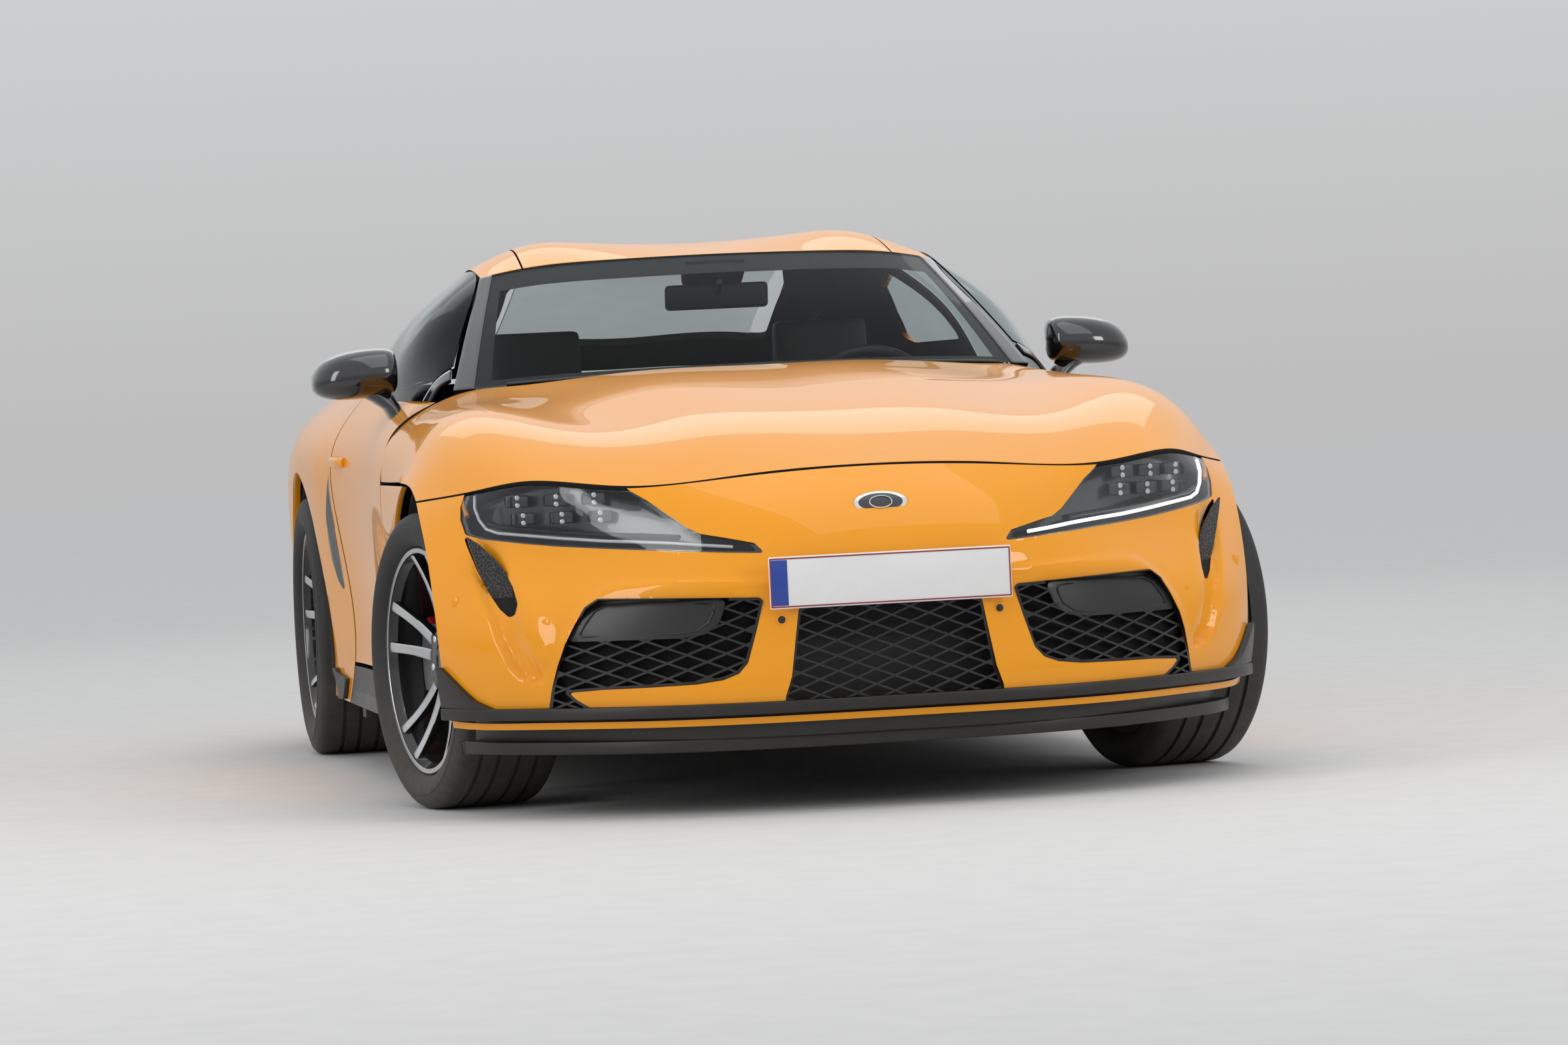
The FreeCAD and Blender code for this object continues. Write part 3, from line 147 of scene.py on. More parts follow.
# Outlines in front view (x, z)
LAMP_OUTLINE = [(257, 551), (277, 573), (331, 586), (382, 597), (406, 611), (440, 640), (476, 671), (506, 692),
                (530, 714), (540, 745), (792, 745), (820, 708), (835, 672), (838, 645), (832, 612), (803, 602),
                (715, 588), (650, 580), (560, 572), (430, 562), (330, 555)]
CENTRE_INTAKE = [(-196, 438), (196, 438), (220, 290), (240, 232), (-240, 232), (-220, 290)]
SIDE_INTAKE = [(270, 452), (278, 459), (440, 465), (600, 470), (627, 452), (649, 416), (670, 375), (685, 331),
               (696, 284), (704, 232), (612, 232), (634, 246), (650, 257), (664, 272), (598, 277), (510, 279),
               (415, 282), (360, 289), (328, 301), (308, 323), (296, 360), (284, 399)]
COVER_OUTLINE = [(340, 461), (600, 467), (624, 450), (646, 416), (664, 380), (440, 380), (392, 386), (362, 408)]
VENT_OUTLINE = [(836, 610), (813, 592), (787, 562), (766, 532), (755, 498), (751, 462), (757, 440), (768, 434),
                (783, 452), (801, 490), (818, 539), (831, 585)]
# Creases of the nose: the ledge over the side intakes, and the scoop's sharp and soft edges at the corner
LEDGE = [(230, 490), (252, 490), (401, 496), (551, 495), (584, 483), (614, 461), (643, 428), (665, 392), (684, 334),
         (702, 276)]
SCOOP_EDGE = [(829, 606), (822, 560), (812, 487), (791, 389), (768, 330), (750, 308), (723, 300), (704, 302)]
SCOOP_BROW = [(809, 601), (766, 562), (745, 509), (740, 450), (735, 394), (720, 341), (712, 310)]
# Each crease with its push in metres and the push's reach on the left and on the right of its line
CREASES = ((LEDGE, 0.0065, (0.006, 0.026)), (SCOOP_EDGE, -0.016, (0.006, 0.040)), (SCOOP_BROW, 0.007, (0.014, 0.034)))
TAIL_LAMP = [(430, 852), (600, 856), (760, 842), (792, 808), (772, 778), (600, 800), (470, 818)]
APRON = [(-640, 200), (640, 200), (585, 330), (520, 372), (330, 392), (-330, 392), (-520, 372), (-585, 330)]
# Outlines in side view (y, z), then in plan (x, y)
QUARTER_WINDOW = [(590, 1005), (600, 1185), (760, 1150), (900, 1085), (1010, 1020), (960, 1003)]
SIDE_SLOT = [(597, 745), (616, 700), (640, 640), (652, 580), (648, 520), (632, 470), (610, 440), (600, 480),
             (606, 560), (604, 650)]
SKIRT_FIN = [(600, 168), (690, 166), (862, 286), (850, 300), (740, 232), (600, 220)]
WINGLET = [(-1850, 232), (-1650, 232), (-1650, 322), (-1672, 330), (-1716, 300), (-1768, 258), (-1812, 238)]
HATCH_WINDOW = [(-330, 850), (330, 850), (380, 1100), (400, 1560), (-400, 1560), (-380, 1100)]


def spline_weights(knots: np.ndarray, places: np.ndarray) -> np.ndarray:
    """Weights that turn values at the knots into a natural cubic spline.

    Args:
        knots: rising positions of the table's lines.
        places: where the spline is read.

    Returns:
        One row of weights for each place.
    """
    count = len(knots)
    step = np.diff(knots)
    system, load = np.eye(count), np.zeros((count, count))
    for i in range(1, count - 1):
        system[i, i - 1:i + 2] = step[i - 1], 2 * (step[i - 1] + step[i]), step[i]
        load[i, i - 1:i + 2] = 6 / step[i - 1], -6 / step[i - 1] - 6 / step[i], 6 / step[i]
    bend = np.linalg.solve(system, load)
    cell = np.clip(np.searchsorted(knots, places, side="right") - 1, 0, count - 2)
    width = step[cell]
    a = ((knots[cell + 1] - places) / width)[:, None]
    b = 1 - a
    unit = np.eye(count)
    square = (width ** 2 / 6)[:, None]
    return unit[cell] * a + unit[cell + 1] * b + (bend[cell] * (a ** 3 - a) + bend[cell + 1] * (b ** 3 - b)) * square


class Surface:
    """A smooth surface through a table of points. Places on it are row and column numbers."""

    def __init__(self, rows: Sequence[Sequence[tuple]], whole: bool = False) -> None:
        """Reads the table. whole=True mirrors its columns about the centreline, which is column 0."""
        table = np.array(rows, float) * MM
        if whole:
            table = np.concatenate([table[:, :0:-1] * (-1, 1, 1), table], axis=1)
        self.shift = table.shape[1] // 2 if whole else 0
        self.table = table
        self.row_knots = self.spaced(table)
        self.column_knots = self.spaced(table.transpose(1, 0, 2))

    @staticmethod
    def spaced(lines: np.ndarray) -> np.ndarray:
        """Knots from the mean distance between neighbouring lines."""
        steps = np.linalg.norm(np.diff(lines, axis=0), axis=2).mean(axis=1)
        return np.concatenate([[0.0], np.cumsum(steps)])

    @staticmethod
    def at_knots(knots: np.ndarray, numbers: np.ndarray) -> np.ndarray:
        """Knot positions of line numbers, which may be fractions or lie past the ends."""
        cell = np.clip(np.floor(numbers).astype(int), 0, len(knots) - 2)
        return knots[cell] + (knots[cell + 1] - knots[cell]) * (numbers - cell)

    def points(self, rows: np.ndarray, columns: np.ndarray) -> np.ndarray:
        """Points at the crossings of row numbers and column numbers, rows first."""
        across = spline_weights(self.column_knots, self.at_knots(self.column_knots, columns + self.shift))
        along = spline_weights(self.row_knots, self.at_knots(self.row_knots, rows))
        return np.einsum("ri,cj,ijk->rck", along, across, self.table)

    def grid(self, rows: tuple[float, float], columns: tuple[float, float], spacing: float = 0.014) -> np.ndarray:
        """A grid of points between two rows and two columns.

        Args:
            rows: first and last row number.
            columns: first and last column number.
            spacing: wanted distance between neighbouring points.

        Returns:
            Points as an array, rows first.
        """
        ends_r = self.at_knots(self.row_knots, np.array(rows, float))
        ends_c = self.at_knots(self.column_knots, np.array(columns, float) + self.shift)
        count_r = max(int(abs(ends_r[1] - ends_r[0]) / spacing), 2) + 1
        count_c = max(int(abs(ends_c[1] - ends_c[0]) / spacing), 2) + 1
        return self.points(np.linspace(*rows, count_r), np.linspace(*columns, count_c))

    def lifted(self, targets: Outline, rows: tuple[float, float], columns: tuple[float, float],
               plane: tuple[int, int] = (0, 2)) -> np.ndarray:
        """Points of the surface that lie over targets.

        Args:
            targets: places in a plane, in metres.
            rows: first and last row number to look between.
            columns: first and last column number to look between.
            plane: which two coordinates the targets give.

        Returns:
            One point for each target.
        """
        cloud = self.grid(rows, columns, 0.005).reshape(-1, 3)
        found = []
        for target in targets:
            gap = np.hypot(cloud[:, plane[0]] - target[0], cloud[:, plane[1]] - target[1])
            near = np.argsort(gap)[:4]
            weight = 1 / (gap[near] + 1e-5)
            point = (cloud[near] * weight[:, None]).sum(axis=0) / weight.sum()
            point[list(plane)] = target
            found.append(point)
        return np.array(found)


nose, bonnet, tail = Surface(NOSE, True), Surface(BONNET, True), Surface(TAIL, True)
roof, screen = Surface(ROOF, True), Surface(SCREEN, True)
side, glazing = Surface(SIDE), Surface(GLAZING)


def normals(grid: np.ndarray) -> np.ndarray:
    """Outward unit normals of a grid of points."""
    along = np.gradient(grid, axis=0)
    across = np.gradient(grid, axis=1)
    cross = np.cross(across, along)
    return cross / np.linalg.norm(cross, axis=2, keepdims=True)


def sunk(grid: np.ndarray, depth: float) -> np.ndarray:
    """The grid moved inwards by depth along its own normals."""
    return grid - normals(grid) * depth


def pressed(grid: np.ndarray, line: Outline, depth: float, widths: tuple[float, float]) -> np.ndarray:
    """The grid pushed out, or in, beside a line seen from the front, on both sides of the car.

    Args:
        grid: points, rows first.
        line: x and z of the line in millimetres.
        depth: the push on the line itself, outwards where positive.
        widths: how fast the push dies away to the left and to the right of the line.

    Returns:
        A new grid of the same shape.
    """
    flat = np.stack((np.abs(grid[..., 0]), grid[..., 2]), axis=-1)
    shape = grid.shape[:2]
    nearest, side_sign, along = np.full(shape, np.inf), np.ones(shape), np.zeros(shape)
    for number, (start, end) in enumerate(zip(line[:-1], line[1:])):
        start, step = np.array(start) * MM, (np.array(end) - start) * MM
        share = np.clip((flat - start) @ step / (step @ step), 0, 1)
        off = flat - start - share[..., None] * step
        gap = np.linalg.norm(off, axis=-1)
        near = gap < nearest
        nearest = np.where(near, gap, nearest)
        side_sign = np.where(near, np.sign(step[0] * off[..., 1] - step[1] * off[..., 0]), side_sign)
        along = np.where(near, (number + share) / (len(line) - 1), along)
    fade = np.clip(np.minimum(along, 1 - along) * 5, 0, 1)
    width = np.where(side_sign > 0, widths[0], widths[1])
    push = depth * fade * fade * (3 - 2 * fade) * np.exp(-(nearest / width) ** 2)
    return grid + normals(grid) * push[..., None]


def pulled_in(grid: np.ndarray, gaps: Sequence[float]) -> np.ndarray:
    """The grid with its outer lines moved in along the surface.

    Args:
        grid: points, rows first.
        gaps: how far the first row, last row, first column and last column move.

    Returns:
        A new grid of the same shape.
    """
    moved = grid.copy()
    pairs = ((np.s_[0], np.s_[1]), (np.s_[-1], np.s_[-2]), (np.s_[:, 0], np.s_[:, 1]), (np.s_[:, -1], np.s_[:, -2]))
    for (edge, near), gap in zip(pairs, gaps):
        if gap:
            step = moved[near] - moved[edge]
            length = np.linalg.norm(step, axis=-1, keepdims=True)
            moved[edge] = moved[edge] + step / length * np.minimum(gap, length * 0.9)
    return moved


def rounded(outline: Outline, radius: float, steps: int = 4) -> list[tuple[float, float]]:
    """An outline with round corners.

    Args:
        outline: corner points in order.
        radius: wanted corner radius, smaller where sides are short.
        steps: points added on each corner.

    Returns:
        The new outline.
    """
    points: list[tuple[float, float]] = []
    count = len(outline)
    for i, corner in enumerate(outline):
        here = Vector(corner)
        back, on = Vector(outline[i - 1]) - here, Vector(outline[(i + 1) % count]) - here
        half = back.angle(on) / 2
        reach = min(radius / max(math.tan(half), 0.05), back.length * 0.45, on.length * 0.45)
        start, end = here + back.normalized() * reach, here + on.normalized() * reach
        for k in range(steps + 1):
            t = k / steps
            points.append(tuple(start * (1 - t) ** 2 + here * 2 * t * (1 - t) + end * t ** 2))
    return points


def metres(outline: Outline, across: float = 1.0) -> list[tuple[float, float]]:
    """An outline in metres. across=-1 mirrors its first coordinate."""
    return [(a * MM * across, b * MM) for a, b in outline]


def shrunk(outline: Outline, share: float | tuple[float, float]) -> list[tuple[float, float]]:
    """An outline scaled about its middle."""
    middle = np.mean(outline, axis=0)
    return [tuple(middle + (np.array(point) - middle) * share) for point in outline]


# Modelling steps, as by hand
def deselect() -> None:
    """Takes every object out of the selection."""
    bpy.ops.object.select_all(action="DESELECT")


def activate(piece: bpy.types.Object) -> None:
    """Selects one piece alone and makes it the active one."""
    deselect()
    piece.select_set(True)
    bpy.context.view_layer.objects.active = piece


def named(name: str) -> bpy.types.Object:
    """Gives the piece that was just added its name."""
    piece = bpy.context.object
    piece.name = piece.data.name = name
    return piece


def modify(piece: bpy.types.Object, kind: str, **settings: object) -> None:
    """Adds a modifier to a piece, sets it and applies it."""
    activate(piece)
    modifier = piece.modifiers.new(kind.lower(), kind)
    for key, value in settings.items():
        setattr(modifier, key, value)
    bpy.ops.object.modifier_apply(modifier=modifier.name)


def edit(piece: bpy.types.Object, *steps: Callable[[], object]) -> None:
    """Runs steps in edit mode with everything selected at the start of each."""
    activate(piece)
    bpy.ops.object.mode_set(mode="EDIT")
    for step in steps:
        bpy.ops.mesh.select_all(action="SELECT")
        step()
    bpy.ops.object.mode_set(mode="OBJECT")


def cleaned(piece: bpy.types.Object, distance: float = 2e-5) -> bpy.types.Object:
    """Merges doubles and turns the faces outwards."""
    edit(piece, lambda: bpy.ops.mesh.remove_doubles(threshold=distance),
         lambda: bpy.ops.mesh.normals_make_consistent(inside=False))
    return piece


def smoothed(piece: bpy.types.Object, angle: float = 35.0) -> bpy.types.Object:
    """Smooth shading, with edges sharper than the angle kept crisp."""
    activate(piece)
    bpy.ops.object.shade_smooth_by_angle(angle=math.radians(angle))
    return piece


def softened(piece: bpy.types.Object, width: float, segments: int = 2, angle: float = 40.0) -> bpy.types.Object:
    """Rounds the piece's sharp edges and shades it smooth."""
    modify(piece, "BEVEL", width=width, segments=segments, limit_method="ANGLE", angle_limit=math.radians(angle))
    return smoothed(piece)


def laid(name: str, grid: np.ndarray) -> bpy.types.Object:
    """A grid primitive laid on an array of points."""
    deselect()
    rows, columns = grid.shape[:2]
    bpy.ops.mesh.primitive_grid_add(x_subdivisions=columns - 1, y_subdivisions=rows - 1, size=1.0)
    piece = named(name)
    piece.data.vertices.foreach_set("co", np.ascontiguousarray(grid, np.float32).ravel())
    piece.data.update()
    return piece


def walled(name: str, outer: np.ndarray, inner: np.ndarray) -> bpy.types.Object:
    """A closed wall between an outer and an inner grid of the same shape."""
    piece = laid(name, outer)
    count = len(piece.data.vertices)
    modify(piece, "SOLIDIFY", thickness=0.004, offset=-1.0, use_rim=True)
    points = np.empty((len(piece.data.vertices), 3), np.float32)
    piece.data.vertices.foreach_get("co", points.ravel())
    points[count:] = inner.reshape(-1, 3)
    piece.data.vertices.foreach_set("co", points.ravel())
    piece.data.update()
    dressed(piece, Look.PAINT, Look.LINING)
    faced(piece, 1, lambda face: max(face.vertices) >= count)
    return piece


def lofted(name: str, rings: np.ndarray) -> bpy.types.Object:
    """A closed skin over rings of points, each of which ends where it starts."""
    piece = laid(name, np.asarray(rings))
    cleaned(piece)
    edit(piece, lambda: bpy.ops.mesh.fill_holes(sides=0),
         lambda: bpy.ops.mesh.normals_make_consistent(inside=False))
    return piece


def tube(name: str, path: Sequence[Sequence[float]], radius: float, sides: int = 8,
         flat: float = 1.0) -> bpy.types.Object:
    """A bar along a path.

    Args:
        name: its name.
        path: points in metres.
        radius: half its width.
        sides: corners of its section.
        flat: its height for its width.

    Returns:
        The closed bar.
    """
    line = np.array(path, float)
    ahead = np.gradient(line, axis=0)
    across = np.cross(ahead, (0, 0, 1))
    across /= np.linalg.norm(across, axis=1, keepdims=True)
    up = np.cross(across, ahead)
    up /= np.linalg.norm(up, axis=1, keepdims=True)
    turn = np.linspace(0, 2 * math.pi, sides + 1)[None, :, None]
    ring = across[:, None] * np.cos(turn) * radius + up[:, None] * np.sin(turn) * radius * flat
    return smoothed(lofted(name, line[:, None] + ring), 50)


def block(name: str, middle: Sequence[float], size: Sequence[float], edge: float = 0.003,
          turn: Sequence[float] = (0, 0, 0)) -> bpy.types.Object:
    """A box with rounded edges.

    Args:
        name: its name.
        middle: its centre in metres.
        size: its three sizes.
        edge: the radius of its edges.
        turn: its turn about X, Y and Z in degrees.

    Returns:
        The box.
    """
    deselect()
    bpy.ops.mesh.primitive_cube_add(size=1.0, location=middle, rotation=[math.radians(a) for a in turn])
    piece = named(name)
    piece.scale = size
    bpy.ops.object.transform_apply(location=True, rotation=True, scale=True)
    return softened(piece, edge, 3, 30)


def disc(name: str, middle: Sequence[float], radius: float, depth: float, axis: Sequence[float]) -> bpy.types.Object:
    """A short round bar about a direction."""
    deselect()
    turn = Vector(axis).to_track_quat("Z", "Y").to_euler()
    bpy.ops.mesh.primitive_cylinder_add(vertices=40, radius=radius, depth=depth, location=middle, rotation=turn)
    piece = named(name)
    bpy.ops.object.transform_apply(location=True, rotation=True, scale=True)
    return softened(piece, min(depth, radius) * 0.2, 2)


def axle_bar(name: str, middle: Sequence[float], radius: float, depth: float, sides: int) -> bpy.types.Object:
    """A plain bar with sharp ends along the X axis."""
    deselect()
    bpy.ops.mesh.primitive_cylinder_add(vertices=sides, radius=radius, depth=depth, location=middle,
                                        rotation=(0, math.pi / 2, 0))
    piece = named(name)
    bpy.ops.object.transform_apply(location=True, rotation=True, scale=True)
    return piece


def prism(name: str, outline: Outline, axis: str, start: float, end: float) -> bpy.types.Object:
    """A straight prism.

    Args:
        name: its name.
        outline: points across the axis, in metres.
        axis: x, y or z.
        start: where it starts along the axis.
        end: where it ends.

    Returns:
        The closed piece.
    """
    place = {"x": lambda a, b: (start, a, b), "y": lambda a, b: (a, start, b), "z": lambda a, b: (a, b, start)}[axis]
    travel = tuple((end - start) if axis == name_ else 0.0 for name_ in "xyz")
    deselect()
    bpy.ops.mesh.primitive_circle_add(vertices=len(outline), radius=1.0, fill_type="NGON")
    piece = named(name)
    for vertex, (a, b) in zip(piece.data.vertices, outline):
        vertex.co = place(a, b)
    edit(piece, lambda: bpy.ops.mesh.extrude_region_move(TRANSFORM_OT_translate={"value": travel}),
         lambda: bpy.ops.mesh.normals_make_consistent(inside=False))
    return piece


def carved(piece: bpy.types.Object, *cutters: bpy.types.Object, operation: str = "DIFFERENCE") -> bpy.types.Object:
    """Cuts, joins or keeps the common part with other pieces, which are used up."""
    for cutter in cutters:
        modify(piece, "BOOLEAN", object=cutter, operation=operation, solver="EXACT")
        bpy.data.objects.remove(cutter, do_unlink=True)
    return piece


class Through(Enum):
    """Where a cutter runs: its axis, and its start and end along it in metres."""
    NOSE = ("y", -2.4, -1.3)
    FLANK = ("x", 0.7, 1.1)
    CORNER = ("x", 0.5, 1.0)
    GLASS = ("x", 0.3, 1.0)
    HATCH = ("z", 0.8, 1.4)
    TAIL = ("y", 1.85, 2.3)
    APRON = ("y", 1.7, 2.3)


def cutter(outline: Outline, radius: float, through: Through, across: float = 1.0) -> bpy.types.Object:
    """A prism with round corners, for carved to use up.

    Args:
        outline: its outline in millimetres.
        radius: the radius of its corners in metres.
        through: where it runs.
        across: -1 for the outline's mirror image.

    Returns:
        The prism.
    """
    return prism("cut", rounded(metres(outline, across), radius), *through.value)


def joined(name: str, *pieces: bpy.types.Object) -> bpy.types.Object:
    """Several pieces as one object, which keeps the first one's materials first."""
    activate(pieces[0])
    for piece in pieces:
        piece.select_set(True)
    bpy.ops.object.join()
    return named(name)


def copied(piece: bpy.types.Object, name: str, matrix: Matrix | None = None) -> bpy.types.Object:
    """A copy with its own mesh, moved in the mesh by a matrix and mended where that mirrors it."""
    twin = piece.copy()
    twin.data = piece.data.copy()
    twin.name = twin.data.name = name
    bpy.context.collection.objects.link(twin)
    if matrix is not None:
        twin.data.transform(matrix)
        if matrix.determinant() < 0:
            twin.data.flip_normals()
    return twin


MIRROR = Matrix.Scale(-1, 4, (1, 0, 0))


def spun(name: str, profile: Outline, steps: int = 96) -> bpy.types.Object:
    """A ring turned about the X axis.

    Args:
        name: its name.
        profile: a loop of places along the axle and radii, in metres.
        steps: facets round the ring.

    Returns:
        The turned piece.
    """
    deselect()
    bpy.ops.mesh.primitive_circle_add(vertices=len(profile), radius=1.0, fill_type="NOTHING")
    piece = named(name)
    for vertex, (along, radius) in zip(piece.data.vertices, profile):
        vertex.co = (along, 0.0, radius)
    edit(piece, lambda: bpy.ops.mesh.spin(steps=steps, angle=2 * math.pi, center=(0, 0, 0), axis=(1, 0, 0)),
         lambda: bpy.ops.mesh.remove_doubles(threshold=1e-5),
         lambda: bpy.ops.mesh.normals_make_consistent(inside=False))
    return piece


# Finishes
class Graph:
    """A node tree while it is being wired."""

    def __init__(self, tree: bpy.types.NodeTree) -> None:
        """Starts from an empty tree."""
        self.tree = tree
        tree.nodes.clear()

    def add(self, kind: str, settings: dict | None = None, **sockets: object) -> bpy.types.Node:
        """Adds a node.

        Args:
            kind: the node's type.
            settings: its properties.
            sockets: its inputs by name with _ for a space, each a value or an output to link.

        Returns:
            The node.
        """
        node = self.tree.nodes.new(kind)
        for key, value in (settings or {}).items():
            setattr(node, key, value)
        for key, value in sockets.items():
            numbered = key[0] == "i" and key[1:].isdigit()
            socket = node.inputs[int(key[1:]) if numbered else key.replace("_", " ")]
            if isinstance(value, bpy.types.NodeSocket):
                self.tree.links.new(value, socket)
            else:
                socket.default_value = value
        return node

    def math(self, operation: str, first: object, second: object = 0.0, third: object = 0.0) -> bpy.types.NodeSocket:
        """The result of one arithmetic step."""
        return self.add("ShaderNodeMath", {"operation": operation}, i0=first, i1=second, i2=third).outputs[0]

    def mix(self, factor: object, first: object, second: object) -> bpy.types.NodeSocket:
        """A blend of two colours."""
        node = self.add("ShaderNodeMix", {"data_type": "RGBA"}, i0=factor, i6=first, i7=second)
        return node.outputs[2]

    def noise(self, scale: object, detail: float = 3.0, roughness: float = 0.55,
              vector: object = None) -> bpy.types.NodeSocket:
        """Noise over the piece's own coordinates."""
        where = vector or self.add("ShaderNodeTexCoord").outputs["Object"]
        return self.add("ShaderNodeTexNoise", None, Vector=where, Scale=scale, Detail=detail,
                        Roughness=roughness).outputs["Fac"]


def group(name: str, inputs: dict[str, object], outputs: dict[str, str],
          wire: Callable[[Graph, dict], dict]) -> bpy.types.NodeTree:
    """Builds a shared effect once.

    Args:
        name: the group's name.
        inputs: its inputs with their usual values, a tuple for a colour.
        outputs: its outputs with their socket kinds.
        wire: takes the graph and the input sockets, and returns the output sockets by name.

    Returns:
        The node group.
    """
    if name in bpy.data.node_groups:
        return bpy.data.node_groups[name]
    tree = bpy.data.node_groups.new(name, "ShaderNodeTree")
    graph = Graph(tree)
    for key, value in inputs.items():
        kind = "NodeSocketColor" if isinstance(value, tuple) else "NodeSocketFloat"
        tree.interface.new_socket(name=key, in_out="INPUT", socket_type=kind).default_value = value
    for key, kind in outputs.items():
        tree.interface.new_socket(name=key, in_out="OUTPUT", socket_type=kind)
    entry, leave = tree.nodes.new("NodeGroupInput"), tree.nodes.new("NodeGroupOutput")
    for key, socket in wire(graph, {key: entry.outputs[key] for key in inputs}).items():
        tree.links.new(socket, leave.inputs[key])
    return tree


def grain_group() -> bpy.types.NodeTree:
    """Fine surface grain: a roughness that wanders and small bumps."""
    def wire(g: Graph, i: dict) -> dict:
        """Wires two noises, one for the roughness and one for the bumps."""
        fine = g.noise(i["Scale"], 4.0)
        broad = g.noise(6.0, 3.0)
        rough = g.math("MULTIPLY_ADD", g.math("SUBTRACT", broad, 0.5), i["Spread"], i["Roughness"])
        bump = g.add("ShaderNodeBump", None, Strength=i["Depth"], Distance=0.001, Height=fine)
        return {"Roughness": rough, "Normal": bump.outputs["Normal"]}
    return group("surface_grain", {"Scale": 400.0, "Depth": 0.2, "Roughness": 0.5, "Spread": 0.15},
                 {"Roughness": "NodeSocketFloat", "Normal": "NodeSocketVector"}, wire)


def flake_group() -> bpy.types.NodeTree:
    """Paint with metal flakes under a slightly waved coat, with the flakes' glints painted into its colour as lighter
    specks.
    """
    def wire(g: Graph, i: dict) -> dict:
        """Wires the flakes' painted glints over a tone that wanders, and the coat's waves."""
        where = g.add("ShaderNodeTexCoord").outputs["Object"]
        cell = g.add("ShaderNodeTexVoronoi", None, Vector=where, Scale=i["Scale"])
        # Painted glint: random flake cells are lightened towards the Light colour
        painted_glint = g.math("MULTIPLY", g.add("ShaderNodeSeparateColor", None, i0=cell.outputs["Color"]).outputs[0],
                       i["Glint"])
        broad = g.noise(1.6, 2.0, vector=where)
        tone = g.mix(g.math("MULTIPLY", broad, 0.5), i["Base"], i["Deep"])
        waves = g.noise(260.0, 1.0, vector=where)
        peel = g.add("ShaderNodeBump", None, Strength=i["Peel"], Distance=0.0004, Height=waves)
        return {"Color": g.mix(painted_glint, tone, i["Light"]), "Normal": peel.outputs["Normal"]}
    return group("flake_paint", {"Base": (1, 0.4, 0.02, 1), "Deep": (0.8, 0.25, 0.01, 1), "Light": (1, 0.6, 0.1, 1),
                                 "Scale": 2500.0, "Glint": 0.25, "Peel": 0.03},
                 {"Color": "NodeSocketColor", "Normal": "NodeSocketVector"}, wire)


def dust_group() -> bpy.types.NodeTree:
    """Road dust that gathers low down and on upward faces."""
    def wire(g: Graph, i: dict) -> dict:
        """Wires a mask from height, upward faces and speckle, and lays dust by it."""
        where = g.add("ShaderNodeTexCoord").outputs["Object"]
        height = g.add("ShaderNodeSeparateXYZ", None, i0=where).outputs["Z"]
        low = g.add("ShaderNodeMapRange", None, Value=height, i1=0.0, i2=i["Height"], i3=1.0, i4=0.0).outputs[0]
        up = g.add("ShaderNodeSeparateXYZ", None, i0=g.add("ShaderNodeNewGeometry").outputs["Normal"]).outputs["Z"]
        lying = g.math("MULTIPLY", g.math("MAXIMUM", up, 0.0), 0.25)
        speckle = g.math("MULTIPLY", g.noise(34.0, 6.0, 0.7, vector=where), g.noise(4.0, 2.0, vector=where))
        mask = g.math("MULTIPLY", g.math("ADD", low, lying), g.math("MULTIPLY", speckle, i["Amount"]))
        mask = g.math("MINIMUM", mask, 1.0)
        rough = g.math("MULTIPLY_ADD", mask, 0.5, i["Roughness"])
        return {"Color": g.mix(mask, i["Color"], (0.36, 0.30, 0.22, 1)), "Roughness": g.math("MINIMUM", rough, 1.0),
                "Mask": mask}
    return group("road_dust", {"Color": (0.5, 0.5, 0.5, 1), "Roughness": 0.4, "Amount": 0.5, "Height": 0.5},
                 {"Color": "NodeSocketColor", "Roughness": "NodeSocketFloat", "Mask": "NodeSocketFloat"}, wire)


def scuff_group() -> bpy.types.NodeTree:
    """Light wear: thin scratches and paler spots."""
    def wire(g: Graph, i: dict) -> dict:
        """Wires stretched noise, cut to thin lines."""
        where = g.add("ShaderNodeTexCoord").outputs["Object"]
        stretched = g.add("ShaderNodeMapping", None, i0=where, i3=(1.0, 9.0, 3.0)).outputs[0]
        lines = g.add("ShaderNodeMapRange", None, Value=g.noise(90.0, 2.0, 0.4, vector=stretched),
                      i1=0.62, i2=0.66, i3=0.0, i4=1.0).outputs[0]
        mask = g.math("MULTIPLY", lines, i["Amount"])
        return {"Color": g.mix(mask, i["Color"], i["Bare"]),
                "Roughness": g.math("MULTIPLY_ADD", mask, 0.25, i["Roughness"])}
    return group("light_scuffs", {"Color": (0.5, 0.5, 0.5, 1), "Bare": (0.6, 0.6, 0.6, 1), "Roughness": 0.4,
                                  "Amount": 0.3},
                 {"Color": "NodeSocketColor", "Roughness": "NodeSocketFloat"}, wire)


class Effect(Enum):
    """Which shared pattern a finish carries."""
    PLAIN = "plain"
    FLAKES = "flakes"
    TURNED = "turned"
    LEATHER = "leather"
    CARPET = "carpet"
    RUBBER = "rubber"
    CAST = "cast"
    MESH = "mesh"


